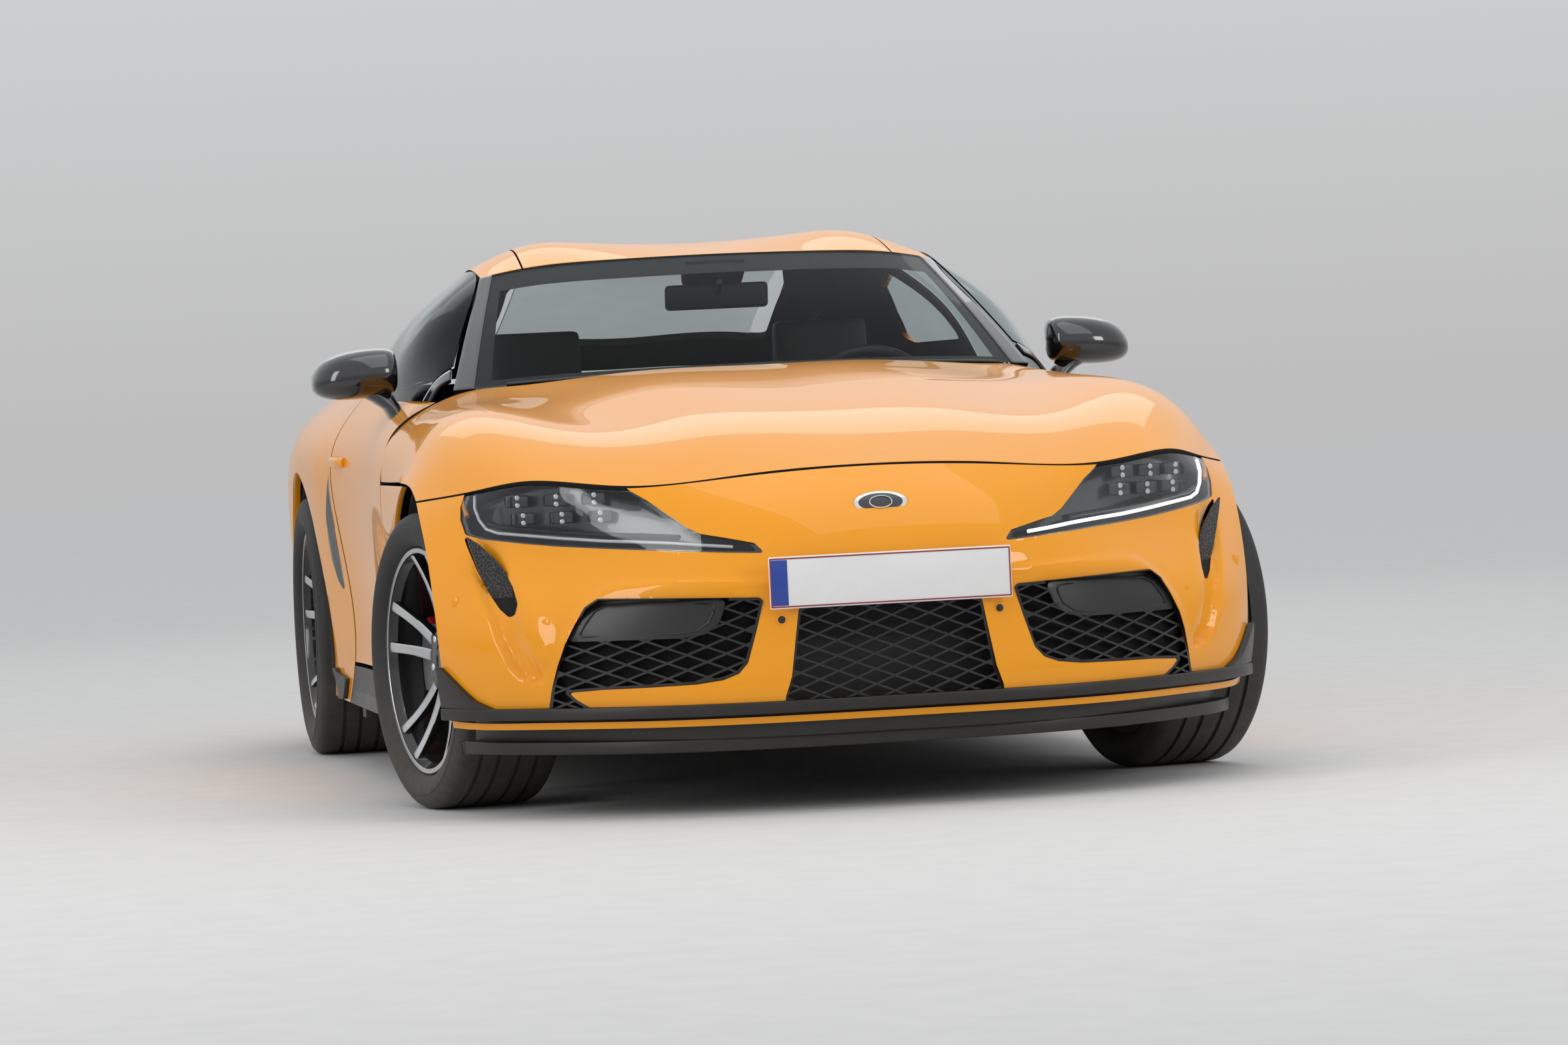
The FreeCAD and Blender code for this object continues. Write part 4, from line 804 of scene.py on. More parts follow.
@dataclass(frozen=True)
class Finish:
    """One finish: what it is made of and how it shines."""
    name: str
    colour: tuple[float, float, float]
    roughness: float = 0.4
    metallic: float = 0.0
    coat: float = 0.0
    transmission: float = 0.0
    effect: Effect = Effect.PLAIN
    grain_scale: float = 600.0
    grain_depth: float = 0.15
    spread: float = 0.12
    dust: float = 0.0
    dust_height: float = 0.45
    scuffs: float = 0.0
    glow: float = 0.0
    ior: float = 1.45
    sheen: float = 0.0
    specular: float = 0.5

    def four(self, factor: float = 1.0) -> tuple[float, float, float, float]:
        """The colour with an alpha, scaled."""
        return (*(min(c * factor, 1.0) for c in self.colour), 1.0)

    def material(self) -> bpy.types.Material:
        """Its material, built on first use."""
        name = "finish_" + self.name
        if name in bpy.data.materials:
            return bpy.data.materials[name]
        material = bpy.data.materials.new(name)
        material.use_nodes = True
        material.diffuse_color = self.four()
        graph = Graph(material.node_tree)
        shader = graph.add("ShaderNodeBsdfPrincipled", None, Metallic=self.metallic, IOR=self.ior,
                           Coat_Weight=self.coat, Coat_Roughness=0.02, Transmission_Weight=self.transmission,
                           Sheen_Weight=self.sheen, Specular_IOR_Level=self.specular)
        graph.add("ShaderNodeOutputMaterial", None, Surface=shader.outputs[0])
        link = graph.tree.links.new
        if self.glow:
            shader.inputs["Emission Strength"].default_value = self.glow
            shader.inputs["Emission Color"].default_value = self.four()
        colour, rough, normal = self.pattern(graph)
        if self.scuffs:
            node = graph.add("ShaderNodeGroup", {"node_tree": scuff_group()}, Color=colour, Roughness=rough,
                             Amount=self.scuffs, Bare=self.four(2.2))
            colour, rough = node.outputs["Color"], node.outputs["Roughness"]
        if self.dust:
            node = graph.add("ShaderNodeGroup", {"node_tree": dust_group()}, Color=colour, Roughness=rough,
                             Amount=self.dust, Height=self.dust_height)
            colour, rough = node.outputs["Color"], node.outputs["Roughness"]
        link(colour, shader.inputs["Base Color"])
        link(rough, shader.inputs["Roughness"])
        if normal:
            link(normal, shader.inputs["Normal"])
        return material

    def pattern(self, graph: Graph) -> tuple[bpy.types.NodeSocket, bpy.types.NodeSocket, bpy.types.NodeSocket | None]:
        """Wires the finish's own pattern and returns its colour, roughness and normal."""
        depth = self.grain_depth
        grain = graph.add("ShaderNodeGroup", {"node_tree": grain_group()}, Scale=self.grain_scale, Depth=depth,
                          Roughness=self.roughness, Spread=self.spread)
        rough, normal = grain.outputs["Roughness"], grain.outputs["Normal"]
        where = graph.add("ShaderNodeTexCoord").outputs["Object"]
        if self.effect is Effect.FLAKES:
            # Car paint, with its flakes' glints painted into the colour
            node = graph.add("ShaderNodeGroup", {"node_tree": flake_group()}, Base=self.four(), Deep=self.four(0.86),
                             Light=self.four(1.3))
            return node.outputs["Color"], rough, node.outputs["Normal"]
        tone = graph.noise(9.0, 3.0, vector=where)
        if self.effect is Effect.LEATHER:
            cell = graph.add("ShaderNodeTexVoronoi", {"feature": "DISTANCE_TO_EDGE"}, Vector=where, Scale=340.0)
            bump = graph.add("ShaderNodeBump", None, Strength=0.35, Distance=0.0006, Height=cell.outputs["Distance"],
                             Normal=normal)
            normal = bump.outputs["Normal"]
        elif self.effect is Effect.CARPET:
            pile = graph.noise(1100.0, 5.0, 0.8, vector=where)
            bump = graph.add("ShaderNodeBump", None, Strength=0.8, Distance=0.002, Height=pile)
            normal, tone = bump.outputs["Normal"], pile
        elif self.effect is Effect.MESH:
            # Painted shade: the honeycomb's holes are darkened as the shade behind them, and its strands are lighter
            cell = graph.add("ShaderNodeTexVoronoi", {"feature": "DISTANCE_TO_EDGE"}, Vector=where, Scale=130.0)
            edge = graph.add("ShaderNodeMapRange", None, Value=cell.outputs["Distance"], i1=0.05, i2=0.16, i3=1.0,
                             i4=0.0)
            bump = graph.add("ShaderNodeBump", None, Strength=1.0, Distance=0.004, Height=edge.outputs[0])
            return graph.mix(edge.outputs[0], self.four(0.15), self.four(1.8)), rough, bump.outputs["Normal"]
        elif self.effect is Effect.CAST:
            pits = graph.noise(260.0, 6.0, 0.7, vector=where)
            bump = graph.add("ShaderNodeBump", None, Strength=0.5, Distance=0.001, Height=pits)
            normal = bump.outputs["Normal"]
        elif self.effect is Effect.TURNED:
            rings = graph.add("ShaderNodeTexWave", {"wave_type": "RINGS", "rings_direction": "X"}, Vector=where,
                              Scale=260.0, Distortion=0.4)
            rough = graph.math("MULTIPLY_ADD", rings.outputs["Fac"], 0.12, rough)
        low, high = (0.93, 1.05) if self.effect is Effect.PLAIN else (0.8, 1.15)
        return graph.mix(tone, self.four(low), self.four(high)), rough, normal


class Look(Enum):
    """The car's finishes."""
    PAINT = Finish("body_paint", (0.96, 0.35, 0.005), 0.40, coat=0.7, specular=0.1, effect=Effect.FLAKES, dust=0.06,
                   spread=0.05)
    GLOSS_BLACK = Finish("gloss_black", (0.008, 0.008, 0.009), 0.12, coat=1.0, grain_depth=0.01, spread=0.05, dust=0.08)
    BLACK = Finish("satin_black", (0.015, 0.015, 0.016), 0.42, grain_scale=900.0, dust=0.2)
    TRIM = Finish("dark_bronze_trim", (0.014, 0.012, 0.011), 0.36, grain_scale=900.0, dust=0.12)
    LATTICE = Finish("lattice_black", (0.014, 0.014, 0.015), 0.3, grain_scale=700.0, dust=0.3)
    UNDER = Finish("underbody", (0.03, 0.03, 0.032), 0.75, effect=Effect.CAST, dust=0.8)
    SEAL = Finish("rubber_seal", (0.012, 0.012, 0.012), 0.7, effect=Effect.RUBBER)
    SCREEN = Finish("screen_glass", (0.74, 0.79, 0.78), 0.0, transmission=1.0, ior=1.08, grain_depth=0.0, spread=0.0)
    TINT = Finish("side_glass", (0.66, 0.72, 0.72), 0.0, transmission=1.0, ior=1.08, grain_depth=0.0, spread=0.0)
    LENS = Finish("lamp_lens", (0.93, 0.95, 0.96), 0.0, transmission=1.0, ior=1.3, grain_depth=0.0, spread=0.0)
    BUCKET = Finish("lamp_housing", (0.040, 0.042, 0.048), 0.25, coat=0.6, grain_depth=0.05)
    REFLECTOR = Finish("lamp_reflector", (0.62, 0.64, 0.67), 0.12, 1.0, grain_depth=0.02)
    LIT = Finish("lit_strip", (1.0, 0.99, 0.96), 0.3, glow=2.2)
    UNLIT = Finish("unlit_strip", (0.70, 0.71, 0.72), 0.25, coat=0.5)
    AMBER = Finish("amber_marker", (0.9, 0.28, 0.02), 0.15, coat=0.8)
    RED = Finish("tail_lens", (0.26, 0.002, 0.003), 0.10, coat=0.6, grain_depth=0.02, specular=0.2)
    CHROME = Finish("bright_metal", (0.78, 0.79, 0.80), 0.10, 1.0, grain_depth=0.02, spread=0.05)
    STEEL = Finish("exhaust_steel", (0.56, 0.55, 0.53), 0.22, 1.0, scuffs=0.4, dust=0.3)
    ALLOY = Finish("suspension_alloy", (0.36, 0.36, 0.37), 0.5, 0.8, effect=Effect.CAST, dust=0.6)
    ENGINE = Finish("engine_metal", (0.28, 0.28, 0.29), 0.5, 0.8, effect=Effect.CAST)
    RADIATOR = Finish("radiator", (0.05, 0.05, 0.052), 0.5, 0.7, dust=0.6)
    # Black seat leather and dash plastic, made darker than their own colour as painted shade inside the cabin
    LEATHER = Finish("seat_leather", (0.009, 0.0085, 0.0085), 0.5, effect=Effect.LEATHER)
    INTERIOR = Finish("dash_plastic_with_painted_shade", (0.010, 0.010, 0.0105), 0.6, effect=Effect.LEATHER, grain_scale=900.0)
    # Near-black lining of the panels' inner faces, also laid as painted shade behind the intakes and inside the
    # tailpipes
    LINING = Finish("lining_and_painted_shade", (0.007, 0.007, 0.0075), 0.85, effect=Effect.CARPET)
    FRIT = Finish("glass_border", (0.004, 0.004, 0.0045), 0.5, grain_depth=0.0)
    # Vent mesh, its holes darkened as painted shade
    MESH = Finish("vent_mesh", (0.045, 0.045, 0.048), 0.4, effect=Effect.MESH)
    MIRROR = Finish("mirror_glass", (0.80, 0.82, 0.84), 0.03, 1.0, grain_depth=0.0, spread=0.02)
    BAND = Finish("plate_band", (0.01, 0.05, 0.32), 0.3, coat=0.5)
    CARPET = Finish("deck_carpet", (0.012, 0.012, 0.0125), 0.95, effect=Effect.CARPET, sheen=0.1)
    TYRE = Finish("tyre_rubber", (0.020, 0.020, 0.021), 0.62, effect=Effect.RUBBER, grain_scale=500.0, dust=0.5)
    RIM_DARK = Finish("rim_dark", (0.02, 0.021, 0.023), 0.22, 0.5, coat=0.6, dust=0.3, grain_depth=0.03)
    RIM_BRIGHT = Finish("rim_machined", (0.60, 0.61, 0.62), 0.24, 1.0, effect=Effect.TURNED, dust=0.2)
    DISC = Finish("disc_iron", (0.36, 0.35, 0.34), 0.35, 1.0, effect=Effect.TURNED, scuffs=0.5, dust=0.3)
    CALIPER = Finish("caliper_red", (0.50, 0.012, 0.010), 0.25, coat=0.8, dust=0.2)
    PLATE = Finish("plate_white", (0.82, 0.82, 0.80), 0.25, coat=0.5, grain_depth=0.02, dust=0.15)
    PLATE_EDGE = Finish("plate_edge", (0.28, 0.01, 0.015), 0.3, coat=0.5)
    FLOOR = Finish("studio_floor", (0.74, 0.73, 0.71), 0.85, grain_scale=60.0, grain_depth=0.03)


def dressed(piece: bpy.types.Object, *looks: Look) -> bpy.types.Object:
    """Gives a piece its finishes in order."""
    piece.data.materials.clear()
    for look in looks:
        piece.data.materials.append(look.value.material())
    if len(looks) == 1:
        piece.data.polygons.foreach_set("material_index", [0] * len(piece.data.polygons))
    return piece


def redressed(node: str, look: Look) -> None:
    """Gives a CAD node a finish in each of its material slots."""
    piece = FRAME["nodes"][node]
    if not piece.material_slots:
        piece.data.materials.append(None)
    for slot in piece.material_slots:
        slot.material = look.value.material()


def faced(piece: bpy.types.Object, index: int, test: Callable[[bpy.types.MeshPolygon], bool]) -> None:
    """Gives the faces that pass a test one of the piece's finishes."""
    for face in piece.data.polygons:
        if test(face):
            face.material_index = index


def without(piece: bpy.types.Object, faces: Sequence[int]) -> None:
    """Deletes faces of a piece by their numbers."""
    activate(piece)
    bpy.ops.object.mode_set(mode="EDIT")
    bpy.ops.mesh.select_all(action="DESELECT")
    bpy.ops.object.mode_set(mode="OBJECT")
    for number in faces:
        piece.data.polygons[number].select = True
    bpy.ops.object.mode_set(mode="EDIT")
    bpy.ops.mesh.select_mode(type="FACE")
    bpy.ops.mesh.delete(type="FACE")
    bpy.ops.mesh.select_mode(type="VERT")
    bpy.ops.object.mode_set(mode="OBJECT")


FRAME: dict = {}


def placed(piece: bpy.types.Object, body: str, *nodes: str) -> bpy.types.Object:
    """Lets a piece ride on a body and stand for CAD nodes, and reports it."""
    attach(piece, body)
    if nodes:
        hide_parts(*nodes)
    LOG.info("%s rides on %s, %d faces", piece.name, body, len(piece.data.polygons))
    return piece


def paired(piece: bpy.types.Object, right_name: str, bodies: tuple[str, str] = ("body", "body"),
           left_nodes: tuple[str, ...] = (), right_nodes: tuple[str, ...] = ()) -> None:
    """Places a left piece and its mirrored twin.

    Args:
        piece: the left piece.
        right_name: the twin's name.
        bodies: what carries the left piece and the twin.
        left_nodes: the CAD nodes that the left piece stands for.
        right_nodes: the CAD nodes that the twin stands for.
    """
    twin = copied(piece, right_name, MIRROR)
    placed(piece, bodies[0], *left_nodes)
    placed(twin, bodies[1], *right_nodes)


# The car
@dataclass
class PaintedBody:
    """Bonnet, nose, wings, doors, roof and tail as pressed panels with open shut lines."""
    skin: float = 0.005
    half_gap: float = 0.0035
    edge: float = 0.0012
    hairline: float = 0.0003
    arch_front: float = 0.398
    arch_rear: float = 0.404
    bumper_spacing: float = 0.0075
    thin_depth: float = 0.012
    bonnet_depth: float = 0.016
    door_depth: float = 0.078
    skirt_depth: float = 0.050
    quarter_depth: float = 0.020
    roof_depth: float = 0.014
    rail_depth: float = 0.024
    hatch_depth: float = 0.020
    beam_middle: tuple[float, float, float] = (0.8185, -0.165, 0.209)
    beam_size: tuple[float, float, float] = (0.047, 1.39, 0.058)
    pad_size: tuple[float, float, float] = (0.048, 0.070, 0.075)
    satin_top: float = 0.186
    intake_depth: float = 0.030
    exhaust_x: float = 0.5
    bore_radius: float = 0.0462
    bore_inset: float = 0.07

    def panel(self, name: str, surface: Surface, rows: tuple, columns: tuple, depth: float,
              gaps: Sequence[float] = (0, 0, 0, 0), spacing: float = 0.014) -> bpy.types.Object:
        """A pressed panel: a surface's part with a wall inwards."""
        outer = pulled_in(surface.grid(rows, columns, spacing), gaps)
        return walled(name, outer, sunk(outer, depth))

    def finished(self, piece: bpy.types.Object, body: str, *nodes: str, edge: float | None = None) -> bpy.types.Object:
        """Rounds a painted panel's edges, dresses it and places it."""
        softened(piece, self.edge if edge is None else edge)
        return placed(piece, body, *nodes)

    def bumper(self) -> None:
        """The nose with its openings, the chin strip below the splitter, and near-black painted shade behind the
        intakes.
        """
        outer = pulled_in(nose.grid((1, 6), (-5, 5), self.bumper_spacing), (0, 0.005, 0, 0))
        for line, depth, widths in CREASES:
            outer = pressed(outer, line, depth, widths)
        piece = walled("front_bumper_skin", outer, sunk(outer, self.skin))
        cutters = [cutter(CENTRE_INTAKE, 0.014, Through.NOSE)]
        for sign in (1, -1):
            for outline, radius in ((LAMP_OUTLINE, 0.010), (SIDE_INTAKE, 0.012), (VENT_OUTLINE, 0.010)):
                cutters.append(cutter(outline, radius, Through.NOSE, sign))
        carved(piece, *cutters)
        self.finished(piece, "body", "front_bumper", edge=0.0010)
        chin = self.panel("chin_strip", nose, (0.38, 0.58), (-4.9, 4.9), self.skin)
        self.finished(chin, "body", edge=0.0008)
        # Painted shade: a near-black sheet 30 mm behind the intakes stands for the shade inside them
        black = self.panel("intake_backs", nose, (1.1, 4.1), (0.95, 3.7), 0.003, spacing=0.03)
        black.data.transform(Matrix.Translation((0, self.intake_depth, 0)))
        paired(dressed(black, Look.LINING), "intake_backs_right")

    def clamshell(self) -> None:
        """The long bonnet that takes the wing tops with it."""
        piece = self.panel("bonnet_skin", bonnet, (0, 5), (-5, 5), self.bonnet_depth, (0.005, self.half_gap, 0, 0))
        self.finished(piece, "bonnet", "bonnet")

    def wing(self) -> None:
        """The panels between the front wheels and the doors."""
        gaps = (0, self.half_gap, 0.007, self.hairline)
        piece = self.panel("front_wing_left", side, (0, 2), (1.62, 4), self.thin_depth, gaps)
        carved(piece, wheel_cut(FRONT_AXLE, FRONT_TYRE[0], self.arch_front))
        softened(piece, self.edge)
        paired(piece, "front_wing_right", left_nodes=("front_fenders",))

    def doors(self) -> None:
        """The doors below the glass."""
        outer = pulled_in(side.grid((2, 5), (0, 4)), (self.half_gap, self.half_gap, 0, self.half_gap))
        inner = pulled_in(sunk(outer, self.door_depth), (0.008, 0.012, 0, 0))
        piece = walled("door_skin_left", outer, inner)
        softened(piece, self.edge)
        paired(piece, "door_skin_right", ("door_left", "door_right"), ("door_left",), ("door_right",))

    def skirts(self) -> None:
        """The sills' dark skirts, with a satin lower edge and a small fin before the rear wheel."""
        gaps = (0, self.half_gap, 0.0065, 0)
        piece = self.panel("skirt_left", side, (0.93, 5), (4, 5), self.skirt_depth, gaps)
        carved(piece, wheel_cut(FRONT_AXLE, FRONT_TYRE[0], self.arch_front))
        dressed(piece, Look.BLACK, Look.BLACK, Look.TRIM)
        faced(piece, 2, lambda face: face.center.z < self.satin_top)
        softened(piece, 0.002)
        beam = block("beam", self.beam_middle, self.beam_size, 0.002)
        pads = [block("pad", (0.828, y, 0.1625), self.pad_size, 0.002) for y in (-0.62, 0.48)]
        for part in (beam, *pads):
            dressed(part, Look.BLACK)
        paired(joined("skirt_left", piece, beam, *pads), "skirt_right", left_nodes=("rockers",))
        grid = side.grid((4.9, 6.3), (4.2, 5), 0.02)
        fin = walled("skirt_fin_left", sunk(grid, -0.012), sunk(grid, -0.001))
        carved(fin, cutter(SKIRT_FIN, 0.01, Through.FLANK), operation="INTERSECT")
        softened(fin, 0.002)
        paired(dressed(fin, Look.BLACK), "skirt_fin_right")

    def quarters(self) -> None:
        """The wide rear wings with the dark slots behind the doors and the small side windows' openings."""
        gaps = (self.half_gap, self.hairline, self.hairline, 0)
        lower = self.panel("quarter_skin_left", side, (5, 12), (0, 5), self.quarter_depth, gaps)
        carved(lower, wheel_cut(REAR_AXLE, REAR_TYRE[0], self.arch_rear), cutter(SIDE_SLOT, 0.01, Through.FLANK))
        softened(lower, self.edge)
        grid = side.grid((5, 6.6), (0.6, 3.4))
        proud = np.interp(grid[:, :, 1], (0.600, 0.650), (-0.001, 0.011))[:, :, None]
        plate = walled("side_slot_left", grid + normals(grid) * proud, sunk(grid, 0.012))
        carved(plate, cutter(SIDE_SLOT, 0.01, Through.FLANK), operation="INTERSECT")
        dressed(plate, Look.GLOSS_BLACK)
        gaps = (self.half_gap, 0, self.hairline, self.hairline)
        upper = self.panel("quarter_top_left", glazing, (4, 10), (0, 2), self.thin_depth, gaps)
        carved(upper, cutter(QUARTER_WINDOW, 0.02, Through.GLASS))
        faced(upper, 1, lambda face: 0.60 < face.center.y < 0.97 and 1.0 < face.center.z < 1.15 and face.normal.x < 0.4)
        softened(upper, 0.0008)
        paired(lower, "quarter_skin_right", left_nodes=("quarter_left",), right_nodes=("quarter_right",))
        paired(upper, "quarter_top_right")
        paired(plate, "side_slot_right")

    def roof_and_rails(self) -> None:
        """The double-bubble roof, its rails and the windscreen pillars."""
        gaps = (self.hairline, self.half_gap, 0.002, 0.002)
        piece = self.panel("roof_skin", roof, (0, 3), (-2, 2), self.roof_depth, gaps, 0.010)
        self.finished(piece, "body", "roof_panel")
        gaps = (0, 0, 0.002, self.hairline)
        rail = self.panel("roof_rail_left", roof, (0, 7.85), (2, 3), self.rail_depth, gaps, 0.012)
        softened(rail, self.edge)
        paired(rail, "roof_rail_right", left_nodes=("pillar_rails",))
        gaps = (0, self.hairline, self.hairline, 0)
        post = self.panel("screen_pillar_left", screen, (0.04, 2), (2.7, 3), self.rail_depth, gaps, 0.010)
        softened(post, self.edge)
        paired(dressed(post, Look.GLOSS_BLACK), "screen_pillar_right")

    def rear(self) -> None:
        """The tailgate, the tail panel and the rear bumper."""
        gaps = (self.half_gap, 0, 0.0045, 0.0045)
        hatch = self.panel("hatch_skin", roof, (3, 8), (-2, 2), self.hatch_depth, gaps)
        carved(hatch, cutter(HATCH_WINDOW, 0.05, Through.HATCH))
        faced(hatch, 1, lambda face: 0.845 < face.center.y < 1.565 and abs(face.center.x) < 0.41
              and abs(face.normal.z) < 0.5)
        self.finished(hatch, "tailgate", "hatch")
        for name, sign in (("left", 1), ("right", -1)):
            strip = roof.grid((3.0, 7.85), (1.86, 2.14), 0.02) * (sign, 1, 1)
            seal = walled("hatch_seal_" + name, sunk(strip, 0.026 * sign), sunk(strip, 0.029 * sign))
            dressed(seal, Look.SEAL)
            placed(seal, "body")
        gaps = (self.half_gap, self.hairline, 0.001, 0.001)
        panel = self.panel("tail_skin", tail, (0, 2.6), (-4, 4), self.skin, gaps)
        carved(panel, *[cutter(TAIL_LAMP, 0.006, Through.TAIL, sign) for sign in (1, -1)])
        self.finished(panel, "body", "tail_panel")
        gaps = (self.hairline, 0, self.hairline, self.hairline)
        self.finished(self.panel("rear_bumper_skin", tail, (2.6, 6), (-4, 4), self.skin, gaps), "body", "rear_bumper")
        grid = tail.grid((3.6, 6), (-2.9, 2.9))
        apron = walled("rear_apron", sunk(grid, -0.0035), sunk(grid, 0.003))
        carved(apron, cutter(APRON, 0.03, Through.APRON), operation="INTERSECT")
        placed(dressed(softened(apron, 0.0015), Look.BLACK), "body")
        tips = [v.co for v in FRAME["nodes"]["exhaust"].data.vertices]
        end, level = max(p.y for p in tips), float(np.mean([p.z for p in tips if p.y > 2.0]))
        # Painted shade: near-black discs 70 mm inside the tailpipes stand for the shade down their bores
        shade_discs = [disc("bore", (x, end - self.bore_inset, level), self.bore_radius, 0.004, (0, 1, 0))
                 for x in (-self.exhaust_x, self.exhaust_x)]
        placed(dressed(joined("exhaust_bores", *shade_discs), Look.LINING), "body")

    def build(self) -> None:
        """Makes every painted panel."""
        self.bumper()
        self.clamshell()
        self.wing()
        self.doors()
        self.skirts()
        self.quarters()
        self.roof_and_rails()
        self.rear()


def wheel_cut(axle: float, height: float, radius: float) -> bpy.types.Object:
    """The round cutter of a left wheel arch."""
    return axle_bar("cut", (0.9, axle, height), radius, 0.8, 160)


@dataclass
class Glasshouse:
    """Windscreen with its dark band, door glass, quarter glass and rear window."""
    glass: float = 0.004
    screen_glass: float = 0.005
    band_inset: float = 0.0056
    band_skin: float = 0.0012
    band_foot: float = 0.07
    band_head: float = 0.82
    band_side: float = 0.045
    pod_size: tuple[float, float, float] = (0.150, 0.085, 0.035)
    mirror_size: tuple[float, float, float] = (0.255, 0.022, 0.062)
    wipers: tuple = (("wiper_left", 0.1, 2.45), ("wiper_right", -2.25, -0.25))

    def pane(self, name: str, surface: Surface, rows: tuple, columns: tuple, gaps: Sequence[float],
             depth: float = 0.0) -> bpy.types.Object:
        """A thin pane on a surface."""
        grid = sunk(pulled_in(surface.grid(rows, columns, 0.012), gaps), depth)
        return walled(name, grid, sunk(grid, self.glass))

    def windscreen(self) -> None:
        """The screen, with a black printed band round it."""
        grid = pulled_in(screen.grid((0.02, 2), (-2.7, 2.7), 0.010), (0.006, 0, 0, 0))
        piece = walled("windscreen_pane", grid, sunk(grid, self.screen_glass))
        placed(smoothed(dressed(piece, Look.SCREEN)), "body", "windscreen")
        inner = sunk(grid, self.band_inset)
        band = walled("windscreen_band", inner, sunk(inner, self.band_skin))
        without(band, self.clear_faces(band, *inner.shape[:2]))
        dressed(band, Look.FRIT)
        placed(smoothed(band), "body")
        self.fittings()

    def fittings(self) -> None:
        """The inner mirror with the housing of its sensors, and the wipers at the foot of the screen."""
        middle = screen.points(np.array([1.62, 1.86]), np.array([0.0]))[:, 0]
        pod = block("screen_sensor", middle[1] + (0, 0.035, -0.028), self.pod_size, 0.010, (-25, 0, 0))
        stem = tube("stem", [middle[0] + (0, 0.02, -0.02), middle[0] + (0, 0.055, -0.048)], 0.008)
        mirror = block("inner_mirror", middle[0] + (0, 0.075, -0.055), self.mirror_size, 0.012, (8, 0, 0))
        for piece in (pod, stem, mirror):
            dressed(piece, Look.INTERIOR)
        placed(joined("inner_mirror", pod, stem, mirror), "body")
        for name, start, end in self.wipers:
            line = screen.points(np.array([0.07]), np.linspace(start, end, 14))[0] - (0, 0.014, 0.004)
            placed(dressed(tube(name, line, 0.006, 8, 0.8), Look.BLACK), "body")

    def clear_faces(self, band: bpy.types.Object, rows: int, columns: int) -> list[int]:
        """The band's faces that lie over the clear glass.

        Args:
            band: the whole band, before its middle is taken out.
            rows: rows of points in its grid.
            columns: columns of points in its grid.

        Returns:
            The numbers of the faces.
        """
        first, last = int(rows * self.band_foot), int(rows * self.band_head)
        margin = int(columns * self.band_side)
        clear = []
        for face in band.data.polygons:
            numbers = [vertex % (rows * columns) for vertex in face.vertices]
            row, column = min(n // columns for n in numbers), min(n % columns for n in numbers)
            if first <= row < last and margin <= column < columns - 1 - margin:
                clear.append(face.index)
        return clear

    def side_panes(self) -> None:
        """The frameless door glass and the small rear side glass."""
        pane = self.pane("door_pane_left", glazing, (0.42, 4), (0, 2), (0, 0.0035, 0.007, 0))
        paired(dressed(smoothed(pane), Look.TINT), "door_pane_right", ("door_left", "door_right"),
               ("door_glass_left",), ("door_glass_right",))
        quarter = self.pane("quarter_pane_left", glazing, (4.05, 8), (0.0, 2.0), (0, 0, 0, 0), 0.006)
        carved(quarter, cutter(QUARTER_WINDOW, 0.02, Through.GLASS), operation="INTERSECT")
        paired(dressed(smoothed(quarter), Look.TINT), "quarter_pane_right", left_nodes=("quarter_glass",))

    def rear_window(self) -> None:
        """The glass in the tailgate."""
        pane = self.pane("rear_pane", roof, (3.05, 7), (-1.6, 1.6), (0, 0, 0, 0), 0.002)
        carved(pane, cutter(HATCH_WINDOW, 0.05, Through.HATCH), operation="INTERSECT")
        dressed(smoothed(pane), Look.SCREEN)
        placed(pane, "tailgate", "hatch_glass")

    def build(self) -> None:
        """Makes every pane."""
        self.windscreen()
        self.side_panes()
        self.rear_window()


